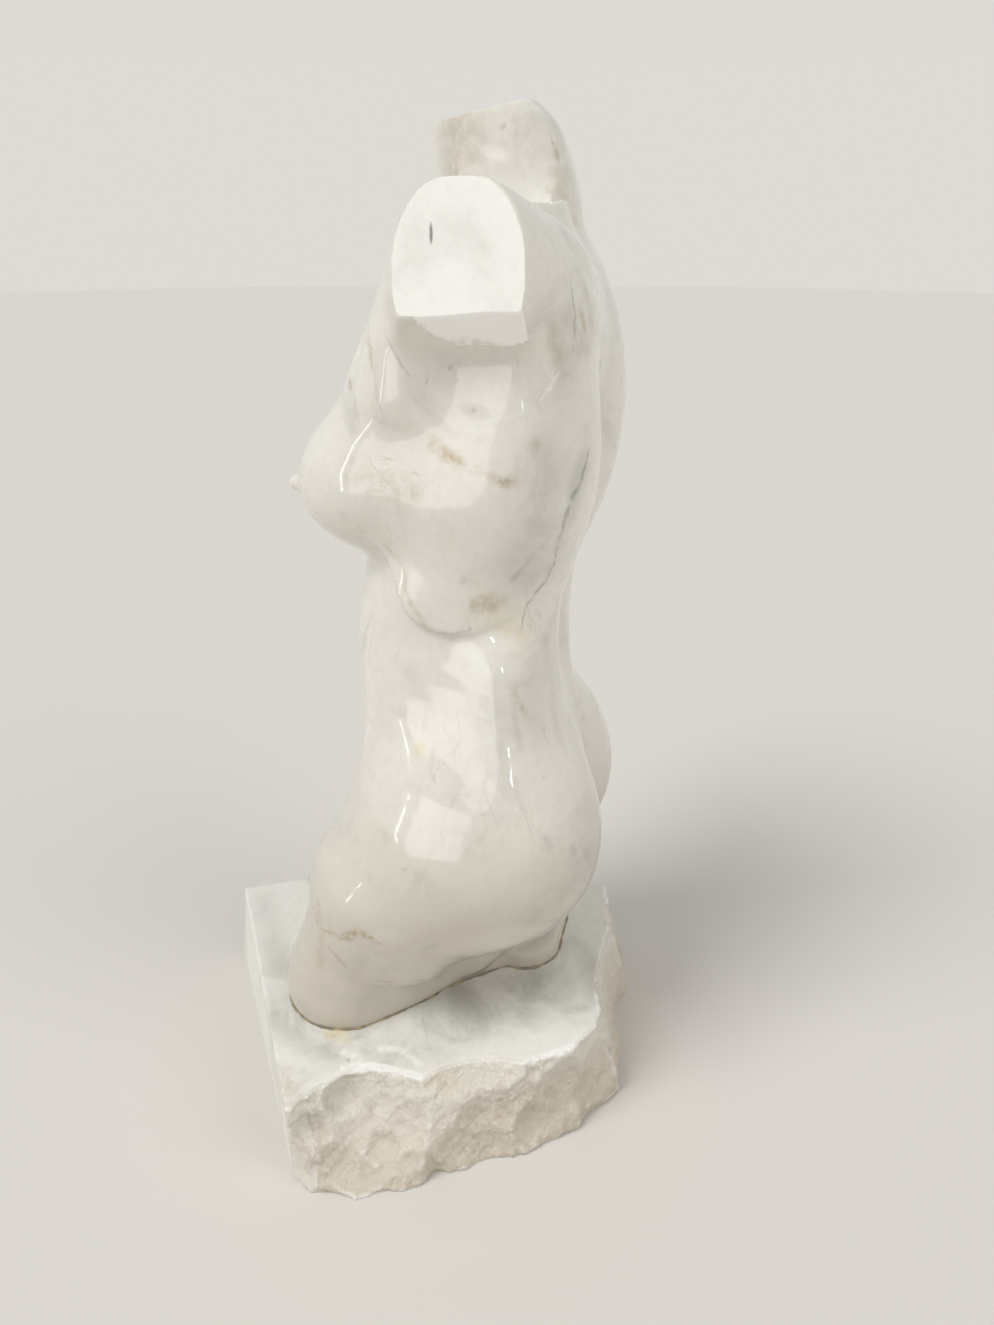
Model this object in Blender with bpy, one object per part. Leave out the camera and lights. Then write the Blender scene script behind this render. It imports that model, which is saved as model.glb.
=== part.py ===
"""Marble torso of a kneeling woman on a rough-hewn marble plinth.

Two pieces: the polished torso, and the slab that it kneels on. Metres, +Z up. The origin is on the
underside of the plinth, in the middle of its outline. The figure faces -Y and its left side is +X.
"""

import math

import bmesh
import bpy
import numpy as np
from mathutils import Vector, noise

# Driving dimensions, in metres.
FIGURE_HEIGHT = 0.407
PLINTH_THICKNESS = 0.052
PLINTH_WIDTH = 0.207
PLINTH_DEPTH = 0.236
BED_GAP = 0.0003
CHIP_DEPTH = 0.004
CHIP_LENGTH = 0.022
EDGE_SPACING = 0.0075

# The boss left standing on the slab's far side: its middle, and its half length, depth and half height.
BOSS_X = -0.042
BOSS_Y = 0.098
BOSS_Z = 0.030
BOSS_REACH = 0.036
BOSS_DEPTH = 0.019
BOSS_RISE = 0.021

# The middle of the figure, from the middle of the plinth.
FIGURE_OFFSET_X = -0.0255
FIGURE_OFFSET_Y = -0.003

# How finely the carving is worked out, and how many triangles are kept of it.
CARVING_GRID = 0.0042
TORSO_TRIANGLES = 8300

# The figure's forms are written in millimetres of a figure 407 mm tall, standing at its own zero,
# and scaled from there to FIGURE_HEIGHT.
DRAWN_HEIGHT = 407.0


def ball(p, centre, radii):
    """Signed distance, near enough, to an ellipsoid."""
    q = p - np.array(centre)
    r = np.array(radii, float)
    near = np.linalg.norm(q / r, axis=1)
    far = np.linalg.norm(q / (r * r), axis=1)
    return near * (near - 1.0) / np.maximum(far, 1e-9)


def limb(p, start, end, start_radius, end_radius):
    """Signed distance to a limb that tapers from one round end to another."""
    a = np.array(start, float)
    along = np.array(end, float) - a
    t = np.clip((p - a) @ along / (along @ along), 0.0, 1.0)
    axis_point = a + t[:, None] * along
    return np.linalg.norm(p - axis_point, axis=1) - (start_radius + (end_radius - start_radius) * t)


def bent_limb(p, start, bend, end, start_radius, bend_radius, end_radius):
    """Signed distance to a limb with a soft bend in it."""
    upper = limb(p, start, bend, start_radius, bend_radius)
    lower = limb(p, bend, end, bend_radius, end_radius)
    return join(upper, lower, 4.0)


def plane(p, point, normal):
    """Signed distance to a flat cut; the kept side is negative."""
    n = np.array(normal, float)
    return (p - np.array(point)) @ (n / np.linalg.norm(n))


def join(a, b, softness):
    """Two forms as one, with a fillet about as wide as the softness."""
    h = np.maximum(softness - np.abs(a - b), 0.0) / softness
    return np.minimum(a, b) - h * h * softness / 4.0


def cut(a, b, softness):
    """What two forms share, with a rounded edge."""
    return -join(-a, -b, softness)


def carve(a, tool, softness):
    """The first form with the second one taken out of it."""
    return cut(a, -tool, softness)


def smooth_value(z, heights, values):
    """A smooth curve through values given at a few heights."""
    h = np.array(heights, float)
    v = np.array(values, float)
    slope = np.gradient(v, h)
    k = np.clip(np.searchsorted(h, z) - 1, 0, len(h) - 2)
    span = h[k + 1] - h[k]
    t = np.clip((z - h[k]) / span, 0.0, 1.0)
    return (
        v[k] * (1 + 2 * t) * (1 - t) ** 2
        + slope[k] * span * t * (1 - t) ** 2
        + v[k + 1] * t * t * (3 - 2 * t)
        + slope[k + 1] * span * t * t * (t - 1)
    )


def column(p, stations, power):
    """A form built up from level sections. A station is height, centre x, centre y, half width, half depth."""
    heights, cx, cy, rx, ry = np.array(stations, float).T
    z = p[:, 2]
    half_width = smooth_value(z, heights, rx)
    half_depth = smooth_value(z, heights, ry)
    u = np.abs(p[:, 0] - smooth_value(z, heights, cx)) / half_width
    v = np.abs(p[:, 1] - smooth_value(z, heights, cy)) / half_depth
    section = (u**power + v**power) ** (1.0 / power)
    side = (section - 1.0) * np.minimum(half_width, half_depth)
    ends = np.maximum(heights[0] - z, z - heights[-1])
    return cut(side, ends, 8.0)


def trunk(p):
    """Belly, loins and rib cage. The ribs stand a little proud of the belly along their lower arch."""
    belly = column(
        p,
        [
            (62, 0, 40, 56, 46),
            (105, 0, 40, 66, 52),
            (140, 0, 38, 63, 52),
            (170, 0, 32.5, 56, 47.5),
            (195, 0, 31, 53.5, 45.5),
            (225, 0, 35, 54.5, 43),
            (262, 0, 42, 53, 38),
        ],
        2.4,
    )
    ribs = ball(p, (0, 45, 268), (61, 51, 74))
    girdle = limb(p, (34, 57, 329), (-37, 60, 325), 29, 30)
    groin = ball(p, (-17, 8, 138), (24, 31, 36))
    body = join(belly, groin, 8.0)
    body = join(body, ribs, 6.0)
    return join(body, girdle, 22.0) - rib_lip(p)


def rib_lip(p):
    """How far the rib cage stands out over the belly, from the arch of its lower edge upwards."""
    turn = np.degrees(np.arctan2(np.abs(p[:, 0]), 40.0 - p[:, 1]))
    around = [0, 45, 59, 69, 79, 93, 112, 135, 180]
    arch = smooth_value(turn, around, [254, 248, 238, 213, 205, 203, 208, 220, 240])
    height = smooth_value(turn, around, [2.0, 2.4, 2.6, 2.6, 2.0, 1.2, 0.6, 0.0, 0.0])
    rise = np.clip((p[:, 2] - arch) / 3.2, 0.0, 1.0)
    fade = np.clip((330.0 - p[:, 2]) / 70.0, 0.0, 1.0)
    return height * rise * rise * (3 - 2 * rise) * fade


def back(p, body):
    """Shoulder blades, the muscles beside the loins and the furrow of the spine."""
    for side, reach in ((1, -3.0), (-1, 6.0)):
        blade = ball(p, (30 * side, 66 + reach, 288), (25, 29, 56))
        body = join(body, blade, 16.0)
        loin = limb(p, (17 * side, 60 + 0.4 * reach, 245), (21 * side, 58, 165), 20, 19)
        body = join(body, loin, 14.0)
        under_blade = limb(p, (56 * side, 84 + reach, 322), (52 * side, 90 + reach, 268), 5, 6)
        body = carve(body, under_blade, 13.0)
    furrow = limb(p, (-1, 106, 338), (0, 84, 190), 7, 7)
    cleft = limb(p, (0, 84, 190), (0, 106, 110), 5, 8)
    body = carve(body, furrow, 18.0)
    return carve(body, cleft, 12.0)


def chest(p, body):
    """Breasts, and the muscle that draws each one up into its arm."""
    for side in (1, -1):
        breast = ball(p, (31 * side, 6, 262), (28, 36, 29))
        pull = limb(p, (33 * side, 6, 274), (50 * side, 40, 342), 24, 23)
        body = join(body, join(breast, pull, 14.0), 11.0)
        nipple = ball(p, (36 * side, -29.5, 262), (3.4, 4.2, 3.4))
        body = join(body, nipple, 2.5)
    return body


def left_arm(p, body):
    """The left arm is held out and sawn off just past the shoulder, with its underside hollowed."""
    hollow = limb(p, (78, 64, 311), (74, 42, 311), 22, 22)
    body = carve(body, hollow, 16.0)
    inwards = np.maximum(72.0 - p[:, 0], 0.0)
    across = (p[:, 1] - 47.5 - 0.12 * inwards) / (24.0 + 0.34 * inwards)
    up = (p[:, 2] - 346.0 + 0.22 * inwards) / 33.3
    round_part = (np.hypot(across, up) - 1.0) * 24.3
    underside = 325.0 - p[:, 2] - inwards * 0.15
    arm = cut(round_part, underside, 6.0)
    arm = cut(arm, plane(p, (72, 47, 377), (-0.2, 0, 0.98)), 2.0)
    arm = cut(arm, 14.0 - p[:, 0], 20.0)
    arm = cut(arm, plane(p, (72, 47, 332), (0.66, 0, -0.75)), 0.8)
    return join(body, arm, 8.0)


def right_arm(p):
    """The right arm is raised beside the missing head and sawn off above the shoulder."""
    arm = column(
        p,
        [
            (290, -40, 62, 24, 27),
            (320, -43, 56, 25, 29),
            (345, -46, 50, 24, 31),
            (372, -48, 45.5, 22.5, 31.5),
            (395, -48, 41, 21.5, 28),
            (425, -48, 34, 20, 21),
        ],
        3.4,
    )
    arm = cut(arm, plane(p, (-47, 60, 406.5), (0, 0.5, 0.87)), 7.0)
    return cut(arm, plane(p, (-47, 40, 404), (0, -0.2, 0.98)), 1.2)


def neck(p):
    """The root of the neck, cut off low between the arms."""
    root = limb(p, (0, 60, 318), (0, 44, 395), 30, 23)
    return cut(root, plane(p, (0, 48, 363), (0, -0.22, 0.97)), 0.8)


def hips(p):
    """Buttocks and thighs, kneeling, with the knees a little apart and stone left between them."""
    left_seat = ball(p, (38, 60, 99), (39, 44, 54))
    right_seat = ball(p, (-36, 62, 97), (36, 42, 52))
    seat = join(left_seat, right_seat, 6.0)
    left_thigh = bent_limb(p, (38, 30, 98), (44, 6, 68), (47, -15, 30), 47, 41, 29)
    right_thigh = bent_limb(p, (-31, 33, 98), (-30, 6, 66), (-28, -17, 28), 42, 37, 28)
    between = bent_limb(p, (6, 3, 26), (2, 40, 60), (-4, 58, 34), 17, 30, 22)
    thighs = join(join(left_thigh, right_thigh, 7.0), between, 8.0)
    under_thigh = bent_limb(p, (46, 12, 45), (45, 34, 59), (39, 53, 70), 29, 26, 22)
    thighs = join(thighs, under_thigh, 10.0)
    hip_edge = bent_limb(p, (43, 57, 184), (53, 62, 142), (56, 74, 112), 11, 12, 14)
    return join(join(seat, thighs, 26.0), hip_edge, 12.0)


def lower_legs(p):
    """Shins along the plinth under the thighs, and the feet together under the seat."""
    left_shin = bent_limb(p, (45.5, -20, 9), (23, 35, 21), (6, 66, 34), 32, 18, 14)
    heel = limb(p, (21, 28, 4), (4, 58, 6), 14, 12)
    left_shin = join(left_shin, heel, 6.0)
    right_shin = limb(p, (-28, -18, 12), (-14, 40, 12), 29, 18)
    feet = limb(p, (-2, 62, 2), (-30, 64, 2), 20.5, 20)
    feet = cut(feet, plane(p, (0, 80, 11), (0.0, 0.12, 0.99)), 5.0)
    return left_shin, right_shin, feet


def figure(p):
    """The whole figure: negative inside, zero on the surface."""
    body = chest(p, back(p, trunk(p)))
    body = join(body, neck(p), 14.0)
    body = join(body, right_arm(p), 14.0)
    body = left_arm(p, body)
    body = join(body, hips(p), 18.0)
    left_shin, right_shin, feet = lower_legs(p)
    body = join(body, right_shin, 16.0)
    body = join(body, left_shin, 5.0)
    body = join(body, feet, 1.5)
    return cut(body, plane(p, (72, 47, 350), (0.99, -0.04, 0.1)), 2.0)


def lattice_points(low, high, step):
    """The corners of a lattice that fills a box."""
    axes = [np.arange(a, b + step, step) for a, b in zip(low, high)]
    return np.stack(np.meshgrid(*axes, indexing="ij"), axis=-1)


def skin_cells(field):
    """One vertex for each lattice cell that the surface crosses, as lattice coordinates, and its number."""
    cells = tuple(n - 1 for n in field.shape)
    total = np.zeros(cells + (3,))
    count = np.zeros(cells)
    for axis in range(3):
        u, v = (axis + 1) % 3, (axis + 2) % 3
        low = np.take(field, range(field.shape[axis] - 1), axis)
        high = np.take(field, range(1, field.shape[axis]), axis)
        crossed = (low < 0) != (high < 0)
        t = np.where(crossed, low / np.where(crossed, low - high, 1.0), 0.0)
        for du in (0, 1):
            for dv in (0, 1):
                window = [slice(None)] * 3
                window[u] = slice(du, du + cells[u])
                window[v] = slice(dv, dv + cells[v])
                hit = crossed[tuple(window)]
                count += hit
                total[..., axis] += t[tuple(window)] * hit
                total[..., u] += du * hit
                total[..., v] += dv * hit
    used = count > 0
    corner = np.argwhere(used)
    number = np.full(cells, -1)
    number[used] = np.arange(len(corner))
    return corner + total[used] / count[used][:, None], number


def skin_faces(field, number):
    """A four-sided face for each lattice edge that the surface crosses, facing out."""
    faces = []
    for axis in range(3):
        u, v = (axis + 1) % 3, (axis + 2) % 3
        low = np.take(field, range(field.shape[axis] - 1), axis) < 0
        high = np.take(field, range(1, field.shape[axis]), axis) < 0
        edges = np.argwhere(low != high)
        edges = edges[(edges[:, u] > 0) & (edges[:, v] > 0)]
        ring = []
        for du, dv in ((-1, -1), (0, -1), (0, 0), (-1, 0)):
            cell = edges.copy()
            cell[:, u] += du
            cell[:, v] += dv
            ring.append(number[tuple(cell.T)])
        quads = np.stack(ring, axis=1)
        leaving = low[tuple(edges.T)]
        quads[~leaving] = quads[~leaving][:, ::-1]
        faces.append(quads)
    return np.concatenate(faces)


def settle(points, form, rounds=2):
    """Moves points along the form's slope onto its surface."""
    reach = 0.2
    for _ in range(rounds):
        value = form(points)
        slope = np.stack(
            [form(points + reach * step) - form(points - reach * step) for step in np.eye(3)], axis=1
        ) / (2 * reach)
        size = np.maximum((slope * slope).sum(1), 0.05)
        points = points - np.clip(value / size, -2.0, 2.0)[:, None] * slope
    return points


def skin_of(form, low, high, step):
    """Vertices and faces of a form's surface."""
    lattice = lattice_points(low, high, step)
    field = form(lattice.reshape(-1, 3)).reshape(lattice.shape[:3])
    spots, number = skin_cells(field)
    points = settle(np.array(low) + spots * step, form)
    return points, skin_faces(field, number)


def marble(name, colour, roughness):
    """A plain stone material."""
    material = bpy.data.materials.new(name)
    material.use_nodes = True
    shader = material.node_tree.nodes["Principled BSDF"]
    shader.inputs["Base Color"].default_value = (*colour, 1.0)
    shader.inputs["Roughness"].default_value = roughness
    shader.inputs["Metallic"].default_value = 0.0
    material.diffuse_color = (*colour, 1.0)
    return material


def add_object(name, mesh, material):
    """Puts a mesh in the scene under the name of its piece."""
    mesh.materials.append(material)
    piece = bpy.data.objects.new(name, mesh)
    bpy.context.scene.collection.objects.link(piece)
    return piece


def plinth_corners():
    """The slab's corners, counter-clockwise, drawn in millimetres.

    Each row is the top corner's x and y, the foot's x and y, and how rough the side after it is.
    """
    return np.array(
        [
            (-52, -109, -56, -117, 0.0),
            (96, -28, 88, -32, 0.25),
            (93, -17, 99, -17, 1.0),
            (76, -9, 99, -4, 1.0),
            (65, 2, 92, 14, 1.0),
            (68, 28, 88, 35, 1.0),
            (59, 52, 70, 52, 1.0),
            (53, 72, 60, 74, 1.0),
            (38, 95, 40, 99, 1.0),
            (27, 110, 10, 119, 1.0),
            (0, 104, -9, 119, 1.0),
            (-22, 103, -36, 116, 1.0),
            (-57, 107, -60, 119, 1.0),
            (-91, 101, -98, 112, 0.35),
            (-104, 40, -108, 40, 0.1),
            (-95, -20, -98, -22, 0.1),
        ],
        float,
    )


def plinth_columns():
    """Upright lines round the slab: the top point, the foot point and the roughness of each."""
    drawn = plinth_corners()
    low = np.minimum(drawn[:, :2].min(0), drawn[:, 2:4].min(0))
    high = np.maximum(drawn[:, :2].max(0), drawn[:, 2:4].max(0))
    size = np.array([PLINTH_WIDTH, PLINTH_DEPTH])
    tops = (drawn[:, :2] - (low + high) / 2) * size / (high - low)
    feet = (drawn[:, 2:4] - (low + high) / 2) * size / (high - low)
    columns = []
    for i in range(len(drawn)):
        j = (i + 1) % len(drawn)
        steps = max(1, round(float(np.linalg.norm(feet[j] - feet[i])) / EDGE_SPACING))
        for k in range(steps):
            t = k / steps
            share = min(1.0, 0.5 + t)
            roughness = drawn[i, 4] * share + drawn[i - 1, 4] * (1 - share)
            columns.append((tops[i] + (tops[j] - tops[i]) * t, feet[i] + (feet[j] - feet[i]) * t, roughness))
    return columns


def chipped(spot, level, roughness):
    """A point of the slab's side, moved in or out as split stone is."""
    outward = spot / np.linalg.norm(spot)
    place = Vector((spot[0], spot[1], level * PLINTH_THICKNESS)) / CHIP_LENGTH
    relief = noise.noise(place) + 0.5 * noise.noise(place * 2.3)
    held_at_rims = 0.35 + 0.65 * math.sin(math.pi * level)
    return spot + outward * relief * CHIP_DEPTH * roughness * held_at_rims


def bossed(spot, level):
    """A point of the slab's side, moved out where a boss was left standing on the far side."""
    across = (spot[0] - BOSS_X) / BOSS_REACH
    up = (level * PLINTH_THICKNESS - BOSS_Z) / BOSS_RISE
    inside = 1.0 - across * across - up * up
    if inside <= 0.0 or spot[1] < 0.0:
        return spot
    return np.array([spot[0], max(spot[1], BOSS_Y + BOSS_DEPTH * math.sqrt(inside))])


def build_plinth(material):
    """The slab: sawn behind and at the left, split off roughly at the front and right."""
    columns = plinth_columns()
    bm = bmesh.new()
    rings = []
    for level in (0.0, 0.18, 0.38, 0.6, 0.82, 1.0):
        ring = []
        for top, foot, roughness in columns:
            spot = bossed(chipped(foot + (top - foot) * level, level, roughness), level)
            ring.append(bm.verts.new((spot[0], spot[1], level * PLINTH_THICKNESS)))
        rings.append(ring)
    for below, above in zip(rings, rings[1:]):
        for i in range(len(below)):
            j = (i + 1) % len(below)
            bm.faces.new((below[i], below[j], above[j], above[i]))
    bmesh.ops.triangulate(bm, faces=bm.faces[:])
    bm.faces.new(list(reversed(rings[0])))
    bm.faces.new(rings[-1])
    mesh = bpy.data.meshes.new("plinth")
    bm.to_mesh(mesh)
    bm.free()
    return add_object("plinth", mesh, material)


def sawn_flat(mesh, point, normal):
    """Saws off what lies beyond a plane and closes the cut."""
    bm = bmesh.new()
    bm.from_mesh(mesh)
    everything = bm.verts[:] + bm.edges[:] + bm.faces[:]
    done = bmesh.ops.bisect_plane(
        bm, geom=everything, dist=1e-7, plane_co=point, plane_no=normal, clear_outer=True
    )
    rim = [g for g in done["geom_cut"] if isinstance(g, bmesh.types.BMEdge)]
    bmesh.ops.contextual_create(bm, geom=rim)
    bmesh.ops.triangulate(bm, faces=[f for f in bm.faces if len(f.verts) > 4])
    bm.to_mesh(mesh)
    bm.free()


def thinned(piece, ratio):
    """The object's mesh with only a share of its triangles."""
    thin = piece.modifiers.new("Fewer triangles", "DECIMATE")
    thin.ratio = ratio
    bpy.context.view_layer.update()
    graph = bpy.context.evaluated_depsgraph_get()
    mesh = bpy.data.meshes.new_from_object(piece.evaluated_get(graph))
    piece.modifiers.clear()
    return mesh


def build_torso(material):
    """The figure in one piece, cut flat where it beds on the plinth."""
    scale = FIGURE_HEIGHT / DRAWN_HEIGHT
    points, faces = skin_of(figure, (-84, -58, -24), (96, 116, 420), CARVING_GRID / scale)
    placed = points * scale + np.array([FIGURE_OFFSET_X, FIGURE_OFFSET_Y, PLINTH_THICKNESS])
    mesh = bpy.data.meshes.new("torso")
    mesh.from_pydata(placed.tolist(), [], faces.tolist())
    torso = add_object("torso", mesh, material)
    torso.data = thinned(torso, TORSO_TRIANGLES / (2.0 * len(faces)))
    sawn_flat(torso.data, (0, 0, PLINTH_THICKNESS + BED_GAP), (0, 0, -1))
    torso.data.shade_smooth()
    return torso


def main():
    for old in list(bpy.data.objects):
        bpy.data.objects.remove(old)
    build_torso(marble("Polished marble", (0.86, 0.85, 0.81), 0.12))
    build_plinth(marble("Hewn marble", (0.84, 0.84, 0.81), 0.35))


main()
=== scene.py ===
# %% [markdown]
# # A kneeling torso in polished marble
#
# The real object is a headless woman's figure, carved from white marble, sanded and waxed until it
# shines. It is glued to a slab of the same stone. Two sides of the slab are sawn, the others are split
# off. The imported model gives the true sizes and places, in metres. This lesson gives each piece its
# finished skin.

# %% Frame
import math

import bmesh
import bpy
import numpy as np
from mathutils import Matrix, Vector
from mathutils.bvhtree import BVHTree


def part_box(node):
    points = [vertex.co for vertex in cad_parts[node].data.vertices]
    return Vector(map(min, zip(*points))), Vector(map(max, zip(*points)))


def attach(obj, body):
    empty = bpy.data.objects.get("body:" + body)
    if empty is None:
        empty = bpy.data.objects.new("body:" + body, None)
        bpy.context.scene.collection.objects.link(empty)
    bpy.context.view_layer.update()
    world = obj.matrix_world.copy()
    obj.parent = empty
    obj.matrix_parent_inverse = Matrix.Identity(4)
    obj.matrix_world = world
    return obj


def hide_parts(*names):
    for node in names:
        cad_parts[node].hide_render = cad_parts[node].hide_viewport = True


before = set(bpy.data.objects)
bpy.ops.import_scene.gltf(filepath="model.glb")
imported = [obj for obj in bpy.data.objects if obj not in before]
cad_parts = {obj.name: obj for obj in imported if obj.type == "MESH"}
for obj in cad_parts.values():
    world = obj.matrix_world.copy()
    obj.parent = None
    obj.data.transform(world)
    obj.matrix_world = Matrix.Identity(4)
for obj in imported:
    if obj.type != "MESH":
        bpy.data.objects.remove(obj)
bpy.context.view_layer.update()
plinth_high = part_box("plinth")[1]
torso_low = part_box("torso")[0]
MM = 0.001
PLINTH_TOP = plinth_high[2]
FIGURE_ZERO = Vector((-0.0255, -0.003, PLINTH_TOP))

# %% [markdown]
# ## Camera
#
# The picture was taken from about 0.42 m above the foot of the slab and looking down. Its focal length
# is known in pixels of the picture, so the lens follows from the ratio of the two. Blender measures a
# tall picture's lens along its height. The camera comes first, because later cells send rays through it
# to find where a mark lies.

# %% Camera
PHOTO_WIDTH = 994
PHOTO_HEIGHT = 1325
FOCAL_PIXELS = 995.0
SENSOR = 36.0
CAMERA_PITCH = 24.5
CAMERA_TURN = 99.8
camera_place = FIGURE_ZERO + Vector((0.4268, 0.1221, 0.366))
camera_data = bpy.data.cameras.new("photo_camera")
camera_data.sensor_width = SENSOR
camera_data.lens = SENSOR * FOCAL_PIXELS / PHOTO_HEIGHT
camera_data.clip_start = 0.01
camera = bpy.data.objects.new("photo_camera", camera_data)
camera.location = camera_place
camera.rotation_euler = (math.radians(90.0 - CAMERA_PITCH), 0.0, math.radians(CAMERA_TURN))
bpy.context.scene.collection.objects.link(camera)
bpy.context.scene.camera = camera
bpy.context.view_layer.update()
print("lens", round(camera_data.lens, 2), "mm, camera at", [round(c, 3) for c in camera_place])


def ray_through(u, v):
    """The direction from the camera through a pixel of the photograph."""
    ahead = Vector((u - PHOTO_WIDTH / 2, PHOTO_HEIGHT / 2 - v, -FOCAL_PIXELS))
    return (camera.matrix_world.to_3x3() @ ahead).normalized()


# %% [markdown]
# ## Forms as distances
#
# A carved figure has no straight edges to start from, so box modelling would take thousands of
# hand-placed points. Here a form is a function instead: it gives a point's distance to the skin, negative
# inside the stone. Two forms flow into one another by a soft minimum, and a hollow is a form taken away,
# as with a round rasp. Each form is written in millimetres, from the figure's own zero on the plinth's
# top.

# %% Ball, limb and flat cut
def length(q):
    """The length of each row."""
    return np.sqrt(np.einsum("ij,ij->i", q, q))


def ball(p, centre, radii):
    """Signed distance, near enough, to an ellipsoid."""
    q = p - np.array(centre)
    r = np.array(radii, float)
    near = length(q / r)
    far = length(q / (r * r))
    return near * (near - 1.0) / np.maximum(far, 1e-9)


def limb(p, start, end, start_radius, end_radius):
    """Signed distance to a limb that tapers from one round end to another."""
    a = np.array(start, float)
    along = np.array(end, float) - a
    t = np.clip((p - a) @ along / (along @ along), 0.0, 1.0)
    axis_point = a + t[:, None] * along
    return length(p - axis_point) - (start_radius + (end_radius - start_radius) * t)


def bent_limb(p, start, bend, end, start_radius, bend_radius, end_radius):
    """Signed distance to a limb with a soft bend in it."""
    upper = limb(p, start, bend, start_radius, bend_radius)
    lower = limb(p, bend, end, bend_radius, end_radius)
    return join(upper, lower, 4.0)


def plane(p, point, normal):
    """Signed distance to a flat cut; the kept side is negative."""
    n = np.array(normal, float)
    return (p - np.array(point)) @ (n / np.linalg.norm(n))


# %% Join, cut and carve
def join(a, b, softness):
    """Two forms as one, with a fillet about as wide as the softness."""
    h = np.maximum(softness - np.abs(a - b), 0.0) / softness
    return np.minimum(a, b) - h * h * softness / 4.0


def cut(a, b, softness):
    """What two forms share, with a rounded edge."""
    return -join(-a, -b, softness)


def carve(a, tool, softness):
    """The first form with the second one taken out of it."""
    return cut(a, -tool, softness)


# %% Forms from level sections
def smooth_value(z, heights, values):
    """A smooth curve through values given at a few heights."""
    h = np.array(heights, float)
    v = np.array(values, float)
    slope = np.gradient(v, h)
    k = np.clip(np.searchsorted(h, z) - 1, 0, len(h) - 2)
    span = h[k + 1] - h[k]
    t = np.clip((z - h[k]) / span, 0.0, 1.0)
    return (
        v[k] * (1 + 2 * t) * (1 - t) ** 2
        + slope[k] * span * t * (1 - t) ** 2
        + v[k + 1] * t * t * (3 - 2 * t)
        + slope[k + 1] * span * t * t * (t - 1)
    )


def column(p, stations, power):
    """A form built up from level sections.

    A station is a height, the centre's x and y, half the width and half the depth.
    """
    heights, cx, cy, rx, ry = np.array(stations, float).T
    z = p[:, 2]
    half_width = smooth_value(z, heights, rx)
    half_depth = smooth_value(z, heights, ry)
    u = np.abs(p[:, 0] - smooth_value(z, heights, cx)) / half_width
    v = np.abs(p[:, 1] - smooth_value(z, heights, cy)) / half_depth
    section = (u**power + v**power) ** (1.0 / power)
    side = (section - 1.0) * np.minimum(half_width, half_depth)
    ends = np.maximum(heights[0] - z, z - heights[-1])
    return cut(side, ends, 8.0)


# %% [markdown]
# ## The trunk
#
# The belly is a stack of level sections, and the rib cage is an egg set over it. On the real carving the
# ribs end in a low arch that catches the light, so a lip of two millimetres follows that arch round the
# body.

# %% Trunk
def trunk(p):
    """Belly, loins and rib cage. The ribs stand a little proud of the belly along their lower arch."""
    belly = column(
        p,
        [
            (62, 0, 40, 56, 46),
            (105, 0, 40, 66, 52),
            (140, 0, 38, 63, 52),
            (170, 0, 32.5, 56, 47.5),
            (195, 0, 31, 53.5, 45.5),
            (225, 0, 35, 54.5, 43),
            (262, 0, 42, 53, 38),
        ],
        2.4,
    )
    ribs = ball(p, (0, 45, 268), (61, 51, 74))
    girdle = limb(p, (34, 57, 329), (-37, 60, 325), 29, 30)
    groin = ball(p, (-17, 8, 138), (24, 31, 36))
    body = join(belly, groin, 8.0)
    body = join(body, ribs, 6.0)
    return join(body, girdle, 22.0) - rib_lip(p)


def rib_lip(p):
    """How far the rib cage stands out over the belly, from the arch of its lower edge upwards."""
    turn = np.degrees(np.arctan2(np.abs(p[:, 0]), 40.0 - p[:, 1]))
    around = [0, 45, 59, 69, 79, 93, 112, 135, 180]
    arch = smooth_value(turn, around, [254, 248, 238, 213, 205, 203, 208, 220, 240])
    height = smooth_value(turn, around, [2.0, 2.4, 2.6, 2.6, 2.0, 1.2, 0.6, 0.0, 0.0])
    rise = np.clip((p[:, 2] - arch) / 3.2, 0.0, 1.0)
    fade = np.clip((330.0 - p[:, 2]) / 70.0, 0.0, 1.0)
    return height * rise * rise * (3 - 2 * rise) * fade


# %% [markdown]
# ## Back and chest
#
# Shoulder blades and loins are soft swellings either side of the spine, and the spine itself is carved
# away. Each breast is an egg joined to the muscle that draws it up towards its arm.

# %% Back and chest
def back(p, body):
    """Shoulder blades, the muscles beside the loins and the furrow of the spine."""
    for side, reach in ((1, -3.0), (-1, 6.0)):
        blade = ball(p, (30 * side, 66 + reach, 288), (25, 29, 56))
        body = join(body, blade, 16.0)
        loin = limb(p, (17 * side, 60 + 0.4 * reach, 245), (21 * side, 58, 165), 20, 19)
        body = join(body, loin, 14.0)
        under_blade = limb(p, (56 * side, 84 + reach, 322), (52 * side, 90 + reach, 268), 5, 6)
        body = carve(body, under_blade, 13.0)
    furrow = limb(p, (-1, 106, 338), (0, 84, 190), 7, 7)
    cleft = limb(p, (0, 84, 190), (0, 106, 110), 5, 8)
    body = carve(body, furrow, 18.0)
    return carve(body, cleft, 12.0)


def chest(p, body):
    """Breasts, and the muscle that draws each one up into its arm."""
    for side in (1, -1):
        breast = ball(p, (31 * side, 6, 262), (28, 36, 29))
        pull = limb(p, (33 * side, 6, 274), (50 * side, 40, 342), 24, 23)
        body = join(body, join(breast, pull, 14.0), 11.0)
        nipple = ball(p, (36 * side, -29.5, 262), (3.4, 4.2, 3.4))
        body = join(body, nipple, 2.5)
    return body


# %% [markdown]
# ## Arms and neck
#
# All three were sawn off by the carver, so each form ends in a flat cut. The left arm's stub faces the
# camera.

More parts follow.
